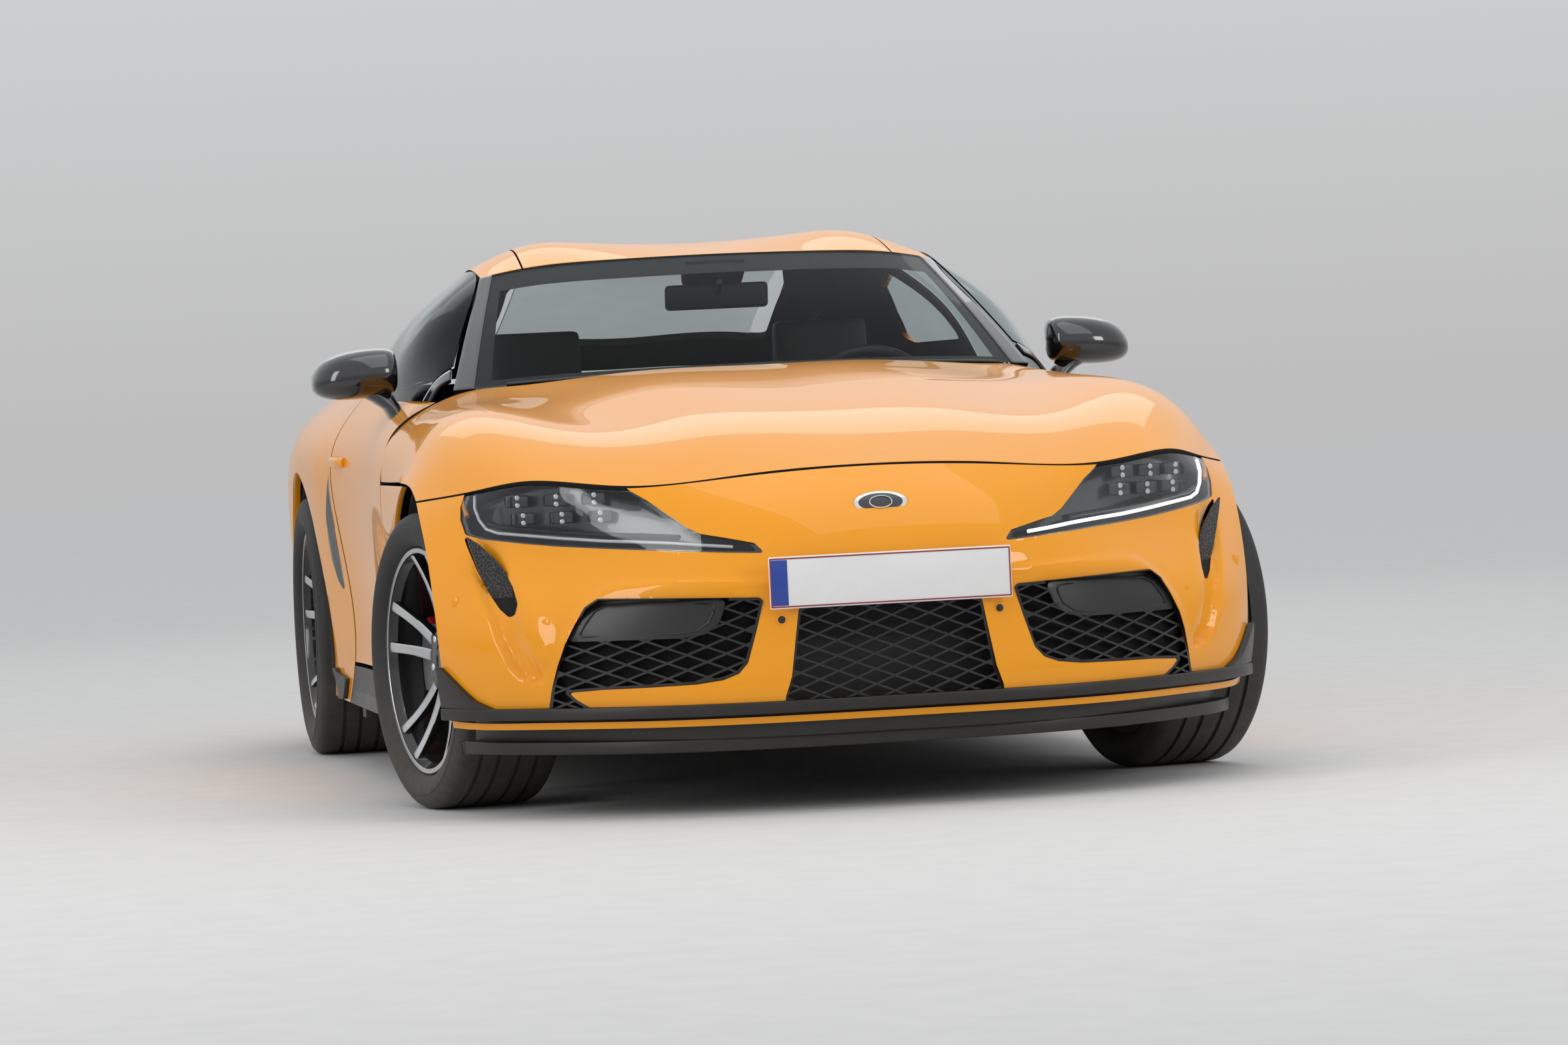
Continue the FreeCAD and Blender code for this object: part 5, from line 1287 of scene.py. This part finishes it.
@dataclass
class Wheels:
    """Four wheels: tyre with grooves, rim with five pairs of spokes, disc and red caliper."""
    track_front: float = 0.797
    track_rear: float = 0.7875
    seat: float = 0.238
    steer: float = 12.0
    kingpin: float = 0.735
    spoke_pairs: int = 5
    bead_inset: float = 0.028
    spoke_root: float = 0.062
    spoke_tip: float = 0.234
    hub_face: float = 0.056
    bolts: int = 5
    bolt_circle: float = 0.056
    bolt_radius: float = 0.0095
    bolt_length: float = 0.016
    caliper_reach: float = 26.0
    caliper_outer: float = 0.212
    caliper_inner: float = 0.118
    slot_radius: float = 0.180
    slot_width: float = 0.046

    def tyre(self, name: str, radius: float, width: float) -> bpy.types.Object:
        """A tyre about the X axis, with rings on its wall and grooves in its tread."""
        half = width / 2
        bead = half - self.bead_inset
        wall = [(bead, self.seat + 0.001), (bead + 0.001, 0.2535), (half - 0.012, 0.262), (half - 0.004, 0.276),
                (half - 0.001, 0.290), (half - 0.0015, 0.298), (half - 0.0035, 0.300), (half - 0.004, 0.306),
                (half - 0.0095, radius - 0.014), (half - 0.016, radius - 0.006), (half - 0.026, radius - 0.0015)]
        tread = []
        for groove in (0.066, 0.024):
            tread += [(groove + 0.005, radius), (groove + 0.004, radius - 0.007), (groove - 0.004, radius - 0.007),
                      (groove - 0.005, radius)]
        right = wall + tread
        profile = right + [(-x, r) for x, r in reversed(right)]
        piece = spun(name, profile, 120)
        smoothed(piece, 38)
        return dressed(piece, Look.TYRE)

    def barrel(self, name: str, width: float) -> bpy.types.Object:
        """The rim's barrel with its outer lip."""
        lip = width / 2 - self.bead_inset + 0.007
        profile = [(-lip, 0.2385), (-lip, 0.232), (-0.02, 0.226), (lip - 0.02, 0.229), (lip - 0.004, 0.240),
                   (lip - 0.001, 0.2405), (lip, 0.2415), (lip, 0.2505), (lip - 0.001, 0.2518), (lip - 0.005, 0.2518),
                   (lip - 0.0065, 0.2385)]
        piece = spun(name, profile, 120)
        dressed(piece, Look.RIM_DARK, Look.RIM_BRIGHT)
        faced(piece, 1, lambda f: f.center.x > lip - 0.0015)
        return smoothed(piece, 30)

    def spoke(self, name: str, width: float, lean: float) -> bpy.types.Object:
        """One spoke from the hub out to the rim, as a bent bar with a bright face."""
        lip = width / 2 - self.bead_inset + 0.003
        grid = np.zeros((9, 5, 3))
        for i in range(9):
            t = i / 8
            radius = self.spoke_root + (self.spoke_tip - self.spoke_root) * t
            centre = lean * (0.016 + 0.034 * t ** 1.2)
            half = 0.0155 - 0.0065 * t + 0.004 * t ** 4
            front = self.hub_face + (lip - self.hub_face) * (0.25 * t + 0.75 * t ** 2.2)
            for j in range(5):
                s = (j - 2) / 2
                grid[i, j] = (front - 0.0012 * abs(s) ** 3, centre + s * half, radius)
        back = grid.copy()
        back[:, :, 0] -= np.linspace(0.030, 0.016, 9)[:, None]
        back[:, :, 1] = grid[:, 2:3, 1] + (grid[:, :, 1] - grid[:, 2:3, 1]) * 0.72
        piece = walled(name, grid, back)
        cleaned(piece)
        softened(piece, 0.0018, 2, 50)
        dressed(piece, Look.RIM_DARK, Look.RIM_BRIGHT)
        faced(piece, 1, lambda f: f.normal.x > 0.80 and f.center.z > 0.075)
        return piece

    def hub(self, name: str) -> bpy.types.Object:
        """The wheel's middle with its cap and five bolts."""
        profile = [(0.034, 0.036), (0.034, 0.082), (0.052, 0.080), (0.058, 0.070), (0.0575, 0.046), (0.048, 0.040),
                   (0.048, 0.033), (0.062, 0.031), (0.0645, 0.024), (0.0648, 0.001), (0.040, 0.001), (0.040, 0.036)]
        piece = spun(name, profile, 64)
        dressed(smoothed(piece, 30), Look.RIM_DARK, Look.CHROME)
        parts = [piece]
        for k in range(self.bolts):
            bolt = axle_bar("bolt", (self.hub_face, 0, self.bolt_circle), self.bolt_radius, self.bolt_length, 6)
            dressed(bolt, Look.CHROME)
            bolt.data.transform(Matrix.Rotation(math.radians(360 / self.bolts * (k + 0.5)), 4, "X"))
            parts.append(softened(bolt, 0.001, 1))
        return joined(name, *parts)

    def rim(self, name: str, width: float) -> bpy.types.Object:
        """The whole rim."""
        parts = [self.barrel(name, width), self.hub("hub")]
        for lean in (-1, 1):
            spoke = self.spoke("spoke", width, lean)
            for k in range(self.spoke_pairs):
                turn = Matrix.Rotation(math.radians(360 / self.spoke_pairs * k), 4, "X")
                parts.append(copied(spoke, "spoke", turn))
            bpy.data.objects.remove(spoke, do_unlink=True)
        return joined(name, *parts)

    def disc(self, name: str) -> bpy.types.Object:
        """A vented brake disc with its bell."""
        profile = [(-0.034, 0.080), (-0.034, 0.174), (-0.022, 0.174), (-0.022, 0.168), (-0.012, 0.168),
                   (-0.012, 0.174), (0.0, 0.174), (0.0, 0.092), (0.004, 0.086), (0.030, 0.080), (0.033, 0.076),
                   (0.033, 0.037), (0.026, 0.037), (0.022, 0.066)]
        piece = spun(name, profile, 96)
        dressed(piece, Look.DISC, Look.ALLOY)
        faced(piece, 1, lambda f: math.hypot(f.center.y, f.center.z) < 0.093)
        return smoothed(piece, 30)

    def caliper(self, name: str) -> bpy.types.Object:
        """The brake caliper that bridges the disc."""
        swing = np.radians(np.linspace(-self.caliper_reach, self.caliper_reach, 9))
        outline = [(math.cos(angle) * radius, math.sin(angle) * radius)
                   for radius, angles in ((self.caliper_outer, swing), (self.caliper_inner, swing[::-1]))
                   for angle in angles]
        piece = prism(name, outline, "x", -0.058, 0.026)
        carved(piece, axle_bar("cut", (-0.017, 0, 0), self.slot_radius, self.slot_width, 96))
        softened(piece, 0.005, 3, 40)
        return dressed(piece, Look.CALIPER)

    def build(self) -> None:
        """Makes one of each part and places its copies at the four corners."""
        for end, (radius, width) in (("front", FRONT_TYRE), ("rear", REAR_TYRE)):
            parts = {"tyre": self.tyre("tyre", radius, width), "rim": self.rim("rim", width),
                     "brake_disc": self.disc("disc"), "knuckle": self.caliper("caliper")}
            for hand, sign, flip in (("left", 1, Matrix.Identity(4)), ("right", -1, MIRROR)):
                place = flip @ Matrix.Translation((self.track_rear, REAR_AXLE, radius))
                if end == "front":
                    pivot = Matrix.Translation((sign * self.kingpin, FRONT_AXLE, 0))
                    turn = pivot @ Matrix.Rotation(math.radians(self.steer), 4, "Z") @ pivot.inverted()
                    place = turn @ flip @ Matrix.Translation((self.track_front, FRONT_AXLE, radius))
                for part, piece in parts.items():
                    if part == "knuckle":
                        twin = copied(piece, f"caliper_{end}_{hand}", place)
                        placed(twin, f"knuckle_front_{hand}" if end == "front" else "body")
                    else:
                        twin = copied(piece, f"{part}_{end}_{hand}_piece", place)
                        placed(twin, f"wheel_{end}_{hand}", f"{part}_{end}_{hand}")
            for piece in parts.values():
                bpy.data.objects.remove(piece, do_unlink=True)


@dataclass
class FrontDetails:
    """What sits in the nose: lamps with their modules and strips, badge, plates, grilles, splitter and sensors."""
    module: tuple[float, float, float] = (0.050, 0.030, 0.026)
    strip_path: tuple = ((0.318, 0.566), (0.37, 0.571), (0.43, 0.578), (0.50, 0.584), (0.57, 0.589), (0.65, 0.598),
                         (0.72, 0.607), (0.768, 0.613), (0.788, 0.622), (0.800, 0.642), (0.806, 0.668), (0.803, 0.694))
    # The light strip's, the shelf's and the marker's depth behind the skin and their radius
    strip: tuple[float, float] = (0.016, 0.0036)
    shelf: tuple[float, float] = (0.030, 0.012)
    marker: tuple[float, float] = (0.018, 0.006)
    module_rows: tuple[float, float] = (0.680, 0.642)
    module_columns: int = 3
    module_step: float = 0.074
    badge_tilt: float = 68.0
    badge_radius: float = 0.0245
    badge_stretch: float = 2.35
    # Each plate's place along the car, its height and the way it faces
    plate_places: tuple = ((-2.190, 0.4875, -1), (2.190, 0.475, 1))
    plate_size: tuple[float, float, float] = (0.520, 0.006, 0.110)
    bracket_size: tuple[float, float, float] = (0.380, 0.046, 0.085)
    band_size: tuple[float, float, float] = (0.036, 0.0022, 0.096)
    # The splitter's lip and riser: how far they stand out and reach back, their lower and their upper edge
    lips: tuple = ((0.016, 0.090, 0.2142, 0.2396), (-0.064, 0.100, 0.163, 0.2150))
    sensor_places: tuple = ((0.701, 0.420), (0.234, 0.410), (0.867, 0.470))

    def sunk_path(self, path: Outline, depth: float) -> np.ndarray:
        """A path on the nose, moved straight back by a depth."""
        return nose.lifted(path, (2.8, 6), (0.6, 5)) + (0, depth, 0)

    def modules(self) -> list[bpy.types.Object]:
        """The left lamp's six modules in two rows, each a dark cup with two small eyes."""
        parts = []
        for row, height in enumerate(self.module_rows):
            for column in range(self.module_columns):
                place = self.sunk_path([(0.578 + self.module_step * column - 0.010 * row, height)], 0.036)[0]
                parts.append(dressed(block("cup", place, self.module, 0.004), Look.BUCKET))
                for lift in (-0.008, 0.008):
                    eye = disc("eye", place + (0, -0.014, lift), 0.0058, 0.010, (0, 1, 0.1))
                    parts.append(dressed(softened(eye, 0.0015), Look.REFLECTOR))
        return parts

    def lamps(self) -> None:
        """Each headlamp: dark housing and rim, modules, a shelf, a light strip and an amber marker."""
        below_bonnet = [(x, z - 3 if z > 720 else z) for x, z in LAMP_OUTLINE]
        shelf_path = [(x - 0.01, z + 0.012) for x, z in self.strip_path[2:9]]
        for name, sign in (("left", 1), ("right", -1)):
            grid = nose.grid((2.8, 5.9), (0.8, 5), 0.012)
            housing = walled("lamp_housing_" + name, sunk(grid, 0.048), sunk(grid, 0.052))
            carved(housing, cutter(below_bonnet, 0.01, Through.NOSE), operation="INTERSECT")
            dressed(housing, Look.BUCKET)
            rim = walled("rim", sunk(grid, 0.006), sunk(grid, 0.050))
            carved(rim, cutter(LAMP_OUTLINE, 0.01, Through.NOSE), operation="INTERSECT")
            carved(rim, prism("cut", shrunk(rounded(metres(LAMP_OUTLINE), 0.01), 0.955), *Through.NOSE.value))
            dressed(rim, Look.GLOSS_BLACK)
            parts = [housing, rim, *self.modules()]
            shelf = tube("shelf", self.sunk_path(shelf_path, self.shelf[0]), self.shelf[1], 10, 0.5)
            dressed(shelf, Look.BLACK)
            strip = tube("strip", self.sunk_path(self.strip_path, self.strip[0]), self.strip[1])
            dressed(strip, Look.LIT if sign > 0 else Look.UNLIT)
            marker = tube("marker", self.sunk_path([(0.822, 0.650), (0.826, 0.690)], self.marker[0]), self.marker[1])
            dressed(marker, Look.AMBER)
            whole = joined("lamp_inside_" + name, *parts, shelf, strip, marker)
            if sign < 0:
                whole.data.transform(MIRROR)
                whole.data.flip_normals()
            placed(whole, "body", *(("headlamps",) if sign > 0 else ()))

    def badge(self) -> None:
        """A plain oval badge: a bright ring round a dark field."""
        centre = nose.lifted([(0.0, 0.645)], (4, 6), (-1, 1))[0]
        tilt = Matrix.Rotation(math.radians(self.badge_tilt), 4, "X")
        seat = Matrix.Translation(Vector(centre) + Vector((0, -0.002, 0))) @ tilt
        parts = []
        for radius, depth, look in ((1.0, 0.004, Look.CHROME), (0.84, 0.0055, Look.BUCKET)):
            piece = disc("badge", (0, 0, 0), self.badge_radius * radius, depth, (0, 0, 1))
            piece.data.transform(seat @ Matrix.Diagonal((self.badge_stretch, 1.0, 1.0, 1.0)))
            parts.append(dressed(piece, look))
        oval = [(math.cos(a) * 0.024, math.sin(a) * 0.0135, 0.0035) for a in np.linspace(0, 2 * math.pi, 33)]
        inner = tube("ring", oval, 0.0016, 6)
        inner.data.transform(Matrix.Translation(Vector(centre) + Vector((0, -0.003, 0))) @ tilt)
        placed(joined("badge", *parts, dressed(inner, Look.CHROME)), "body")

    def plates(self) -> None:
        """Blank number plates with a thin border and a plain band at one end."""
        parts = []
        for y, z, out in self.plate_places:
            face = y - out * 0.0012
            base = block("base", (0, y - out * 0.004, z), self.plate_size, 0.004)
            bracket = block("bracket", (0, y - out * 0.030, z), self.bracket_size, 0.006)
            band = block("band", (out * 0.2385, face, z), self.band_size, 0.001)
            for piece, look in ((base, Look.PLATE), (bracket, Look.BLACK), (band, Look.BAND)):
                parts.append(dressed(piece, look))
            edges = [block("edge", (0, face, z + s * 0.0505), (0.512, 0.0022, 0.0030), 0.0006) for s in (-1, 1)]
            edges += [block("edge", (s * 0.2565, face, z), (0.0030, 0.0022, 0.1035), 0.0006) for s in (-1, 1)]
            parts += [dressed(edge, Look.PLATE_EDGE) for edge in edges]
        placed(joined("plates", *parts), "body", "number_plates")

    def grilles(self) -> None:
        """The lattices and vent meshes, with a smooth cover over the side intakes' upper part."""
        mesh = copied(FRAME["nodes"]["grille_mesh"], "grille_lattice")
        mesh.parent = None
        carved(mesh, *[prism("cut", metres(COVER_OUTLINE, sign), *Through.NOSE.value) for sign in (1, -1)])
        dressed(mesh, Look.LATTICE, Look.MESH)
        faced(mesh, 0, lambda face: True)
        faced(mesh, 1, lambda face: abs(face.center.x) > 0.745 and face.center.z > 0.42)
        placed(mesh, "body", "grille_mesh")
        grid = nose.grid((2, 4.2), (0.9, 3.8), 0.012)
        cover = walled("intake_cover_left", sunk(grid, 0.004), sunk(grid, 0.010))
        carved(cover, cutter(COVER_OUTLINE, 0.018, Through.NOSE), operation="INTERSECT")
        dressed(cover, Look.LATTICE)
        softened(cover, 0.0015)
        loop = shrunk(rounded(metres(COVER_OUTLINE), 0.018), (0.86, 0.74))
        rim = tube("rim", nose.lifted(loop + loop[:1], (2, 4.2), (0.9, 3.8)) + (0, 0.0035, 0), 0.0024, 6)
        dressed(rim, Look.LATTICE)
        paired(joined("intake_cover_left", cover, rim), "intake_cover_right")

    def splitter(self) -> None:
        """The lip with its riser, the undertray's edge and a winglet at each corner."""
        edge = nose.points(np.array([1.0]), np.linspace(-5, 5, 121))[0]
        edge = edge[edge[:, 1] < -1.652]
        parts = []
        for out, back, low, high in self.lips:
            line = [(p[0] * (1 + out / 0.9), p[1] - out / 2) for p in edge]
            line += [(p[0] * (1 - back / 0.9), p[1] + back / 2) for p in edge[::-1]]
            band = prism("band", line, "z", low, high)
            parts.append(softened(band, 0.003, 3))
        low_edge = nose.points(np.array([0.0]), np.linspace(-5, 5, 121))[0]
        tray = prism("tray", [(p[0] * 0.985, min(p[1] + 0.014, -1.631)) for p in low_edge], "z", 0.137, 0.1645)
        parts.append(softened(tray, 0.003, 3))
        grid = nose.grid((1, 3), (3.5, 5), 0.01)
        blade = walled("blade", sunk(grid, -0.015), sunk(grid, -0.002))
        carved(blade, cutter(WINGLET, 0.012, Through.CORNER), operation="INTERSECT")
        softened(blade, 0.002)
        parts += [blade, copied(blade, "blade", MIRROR)]
        for part in parts:
            dressed(part, Look.TRIM)
        placed(joined("splitter", *parts), "body", "front_splitter")

    def sensors(self) -> None:
        """Small round sensors in the nose."""
        parts = []
        for x, z in self.sensor_places:
            for sign in (1, -1):
                place = nose.lifted([(x, z)], (1, 5), (0, 5))[0] * (sign, 1, 1)
                lean = Vector((sign * (0.05 if x < 0.3 else 0.35 if x < 0.7 else 0.9), -1, 0))
                ring = disc("sensor", place, 0.0115, 0.005, lean)
                dressed(ring, Look.PAINT)
                dot = disc("sensor", place, 0.0085, 0.0062, lean)
                dressed(dot, Look.BLACK if x < 0.3 else Look.PAINT)
                parts += [ring, dot]
        placed(joined("nose_sensors", *parts), "body")

    def build(self) -> None:
        """Makes every detail of the nose."""
        self.lamps()
        self.badge()
        self.plates()
        self.grilles()
        self.splitter()
        self.sensors()


@dataclass
class Fittings:
    """Mirrors and door handles. A mirror section is its place x, y and z and half its size in y and in z."""
    sections: tuple = ((0.800, -0.186, 0.986, 0.052, 0.046), (0.818, -0.184, 0.985, 0.068, 0.056),
                       (0.850, -0.182, 0.984, 0.078, 0.060), (0.900, -0.178, 0.981, 0.084, 0.060),
                       (0.945, -0.173, 0.977, 0.080, 0.056), (0.978, -0.167, 0.972, 0.068, 0.046),
                       (0.998, -0.161, 0.967, 0.048, 0.031), (1.005, -0.158, 0.965, 0.026, 0.015))
    foot_sections: tuple = ((0.806, -0.200, 0.872, 0.022, 0.048), (0.818, -0.198, 0.896, 0.024, 0.044),
                            (0.838, -0.192, 0.916, 0.032, 0.042), (0.864, -0.186, 0.936, 0.046, 0.044))
    glass_y: float = -0.118

    def mirror(self) -> bpy.types.Object:
        """A door mirror: a lofted shell, cut flat behind for its glass, on a swept foot."""
        turn = np.linspace(0, 2 * math.pi, 41)
        rings = []
        for x, y, z, half_y, half_z in self.sections:
            c, s = np.cos(turn), np.sin(turn)
            wide, high = np.sign(c) * np.abs(c) ** 0.82, np.sign(s) * np.abs(s) ** 0.80
            lean = np.where(s > 0, 0.012, -0.004) * np.abs(s)
            rings.append(np.stack([np.full(41, x), y + wide * half_y + lean, z + high * half_z], axis=1))
        shell = lofted("mirror_left_piece", np.array(rings))
        deselect()
        bpy.ops.mesh.primitive_cube_add(size=0.4, location=(0.9, self.glass_y + 0.2, 0.97))
        carved(shell, named("cut"))
        modify(shell, "SUBSURF", levels=1)
        softened(shell, 0.0025, 2, 50)
        dressed(shell, Look.GLOSS_BLACK)
        edge = [(x, z + high) for x, _, z, _, high in self.sections]
        edge += [(x, z - high) for x, _, z, _, high in reversed(self.sections)]
        glass = prism("glass", [(a * 0.86 + 0.14 * 0.905, b * 0.84 + 0.16 * 0.979) for a, b in edge], "y",
                      self.glass_y - 0.004, self.glass_y + 0.002)
        dressed(glass, Look.MIRROR)
        ring = np.linspace(0, 2 * math.pi, 25)
        foot = lofted("foot", np.array([[(x + math.cos(a) * wide, y + math.sin(a) * deep, z) for a in ring]
                                        for x, y, z, wide, deep in self.foot_sections]))
        dressed(smoothed(foot, 60), Look.GLOSS_BLACK)
        corner = pulled_in(glazing.grid((0.2, 0.40), (0.2, 2), 0.012), (0.001, 0.001, 0.001, 0.001))
        sail = walled("sail", corner, sunk(corner, 0.010))
        softened(sail, 0.001)
        dressed(sail, Look.GLOSS_BLACK)
        return joined("mirror_left_piece", shell, glass, foot, sail)

    def handles(self) -> None:
        """Pull handles in the doors' rear ends."""
        for hand, sign in (("left", 1), ("right", -1)):
            places = [(y, 0.768 + 0.02 * (y - 0.4)) for y in np.linspace(0.355, 0.535, 9)]
            line = side.lifted(places, (3, 5), (0.8, 3), (1, 2))
            bow = np.sin(np.linspace(0, math.pi, 9)) ** 0.4 * 0.014
            line[:, 0] = (line[:, 0] + bow) * sign
            grip = tube("door_handle_" + hand, line, 0.008, 10, 1.6)
            dressed(grip, Look.PAINT)
            placed(grip, "door_" + hand)

    def build(self) -> None:
        """Makes the fittings."""
        paired(self.mirror(), "mirror_right_piece", ("door_left", "door_right"), ("mirror_left",), ("mirror_right",))
        self.handles()


@dataclass
class Cabin:
    """Padded seats, and the dash with its instrument hood and screen."""
    voxel: float = 0.011
    hood_middle: tuple[float, float, float] = (0.37, -0.30, 0.925)
    hood_size: tuple[float, float, float] = (0.34, 0.17, 0.03)
    screen_middle: tuple[float, float, float] = (0.0, -0.235, 0.915)
    screen_size: tuple[float, float, float] = (0.23, 0.012, 0.085)

    def padded(self, node: str, name: str, look: Look, rounds: int) -> bpy.types.Object:
        """A CAD node's solid with its shape melted soft, as padding is."""
        piece = copied(FRAME["nodes"][node], name)
        piece.parent = None
        modify(piece, "REMESH", mode="VOXEL", voxel_size=self.voxel)
        modify(piece, "SMOOTH", factor=0.6, iterations=rounds)
        dressed(smoothed(piece, 60), look)
        return placed(piece, "body", node)

    def build(self) -> None:
        """Makes the cabin."""
        self.padded("seats", "seat_covers", Look.LEATHER, 10)
        self.padded("dashboard", "dash_top", Look.INTERIOR, 8)
        hood = block("instrument_hood", self.hood_middle, self.hood_size, 0.012, (-8, 0, 0))
        dressed(hood, Look.INTERIOR)
        screen_piece = block("dash_screen", self.screen_middle, self.screen_size, 0.005, (-10, 0, 0))
        dressed(screen_piece, Look.GLOSS_BLACK)
        placed(joined("dash_details", hood, screen_piece), "body")


@dataclass
class Studio:
    """A pale floor, soft lamps and the camera at the photograph's angle."""
    place: tuple[float, float, float] = (-2.405, -14.772, 0.875)
    yaw: float = 9.84
    pitch: float = -1.17
    roll: float = -2.8
    lens: float = 139.8
    floor_size: float = 120.0
    lamp_aim: tuple[float, float, float] = (0, 0, 0.6)
    low_light: tuple = (0.30, 0.32, 0.35, 1)
    high_light: tuple = (0.95, 0.97, 1.0, 1)
    light_strength: float = 0.80
    low_backdrop: tuple = (0.515, 0.515, 0.515, 1)
    high_backdrop: tuple = (0.82, 0.84, 0.87, 1)
    # Each lamp's name, place, size and watts
    lamps: tuple = (("lamp_top", (0.5, -1.5, 5.0), (3.0, 6.5), 60),
                    ("lamp_front_left", (5.5, -7.5, 3.4), (2.2, 2.2), 105),
                    ("lamp_front_right", (-6.5, -4.5, 3.4), (1.6, 5.0), 125),
                    ("lamp_rear", (1.0, 8.5, 6.0), (8.0, 2.5), 45))

    def camera(self) -> None:
        """The camera, turned by its yaw, pitch and roll."""
        yaw, pitch, roll = (math.radians(a) for a in (self.yaw, self.pitch, self.roll))
        ahead = Vector((math.sin(yaw) * math.cos(pitch), math.cos(yaw) * math.cos(pitch), math.sin(pitch)))
        right = Vector((math.cos(yaw), -math.sin(yaw), 0))
        up = right.cross(ahead)
        level = math.cos(roll) * right + math.sin(roll) * up
        upright = -math.sin(roll) * right + math.cos(roll) * up
        data = bpy.data.cameras.new("camera")
        data.lens, data.sensor_width, data.sensor_fit = self.lens, 36.0, "HORIZONTAL"
        data.clip_end = 200.0
        item = bpy.data.objects.new("camera", data)
        bpy.context.collection.objects.link(item)
        item.matrix_world = Matrix(((level.x, upright.x, -ahead.x, self.place[0]),
                                    (level.y, upright.y, -ahead.y, self.place[1]),
                                    (level.z, upright.z, -ahead.z, self.place[2]), (0, 0, 0, 1)))
        bpy.context.scene.camera = item

    def lamp(self, name: str, where: Vector, target: Vector, size: tuple[float, float], power: float) -> None:
        """One soft area lamp."""
        data = bpy.data.lights.new(name, "AREA")
        data.shape, data.size, data.size_y, data.energy = "RECTANGLE", size[0], size[1], power
        item = bpy.data.objects.new(name, data)
        bpy.context.collection.objects.link(item)
        item.location = where
        item.rotation_euler = (target - where).to_track_quat("-Z", "Y").to_euler()

    def build(self) -> None:
        """Sets the floor, the world, the lamps and the camera."""
        bpy.context.scene.view_settings.view_transform = "Standard"
        deselect()
        bpy.ops.mesh.primitive_plane_add(size=self.floor_size, location=(0, 0, 0))
        floor = named("studio_floor")
        dressed(floor, Look.FLOOR)
        self.world()
        for name, where, size, power in self.lamps:
            self.lamp(name, Vector(where), Vector(self.lamp_aim), size, power)
        self.camera()

    def world(self) -> None:
        """The sky's light, and the pale backdrop that the camera, glass and reflections see instead."""
        world = bpy.data.worlds.new("studio_world")
        bpy.context.scene.world = world
        world.use_nodes = True
        graph = Graph(world.node_tree)
        path = graph.add("ShaderNodeLightPath")
        seen = graph.math("MAXIMUM", path.outputs["Is Camera Ray"], path.outputs["Is Transmission Ray"])
        seen = graph.math("MAXIMUM", seen, path.outputs["Is Glossy Ray"])
        where = graph.add("ShaderNodeTexCoord").outputs["Generated"]
        height = graph.add("ShaderNodeSeparateXYZ", None, i0=where).outputs["Z"]
        rise = graph.add("ShaderNodeMapRange", None, Value=height, i1=-0.05, i2=0.75, i3=0.0, i4=1.0).outputs[0]
        sky = graph.mix(rise, self.low_light, self.high_light)
        light = graph.add("ShaderNodeBackground", None, Color=sky, Strength=self.light_strength)
        rise = graph.add("ShaderNodeMapRange", None, Value=height, i1=0.0, i2=0.22, i3=0.0, i4=1.0).outputs[0]
        haze = graph.mix(rise, self.low_backdrop, self.high_backdrop)
        back = graph.add("ShaderNodeBackground", None, Color=haze, Strength=1.0)
        mix = graph.add("ShaderNodeMixShader", None, i0=seen, i1=light.outputs[0], i2=back.outputs[0])
        graph.add("ShaderNodeOutputWorld", None, Surface=mix.outputs[0])


def dress_frame() -> None:
    """Finishes for the CAD nodes that stay."""
    table = {
        Look.UNDER: ("floor_pan", "front_rails", "cowl", "wheel_liners"),
        Look.BLACK: ("rear_diffuser",),
        Look.LENS: ("headlamp_lenses",),
        Look.RADIATOR: ("radiator_pack",),
        Look.ENGINE: ("engine_block",),
        Look.RED: ("tail_lamps",),
        Look.STEEL: ("exhaust",),
        Look.LEATHER: ("steering_wheel",),
        Look.CARPET: ("luggage_deck",),
        Look.ALLOY: ("suspension", "knuckle_front_left", "knuckle_front_right"),
    }
    for look, nodes in table.items():
        for node in nodes:
            redressed(node, look)


def main() -> None:
    """Builds the whole scene."""
    logging.basicConfig(level=logging.INFO, format="%(name)s: %(message)s")
    FRAME.update(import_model())
    deselect()
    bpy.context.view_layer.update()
    Studio().build()
    dress_frame()
    PaintedBody().build()
    Glasshouse().build()
    FrontDetails().build()
    Fittings().build()
    Cabin().build()
    Wheels().build()


if __name__ == "__main__":
    main()
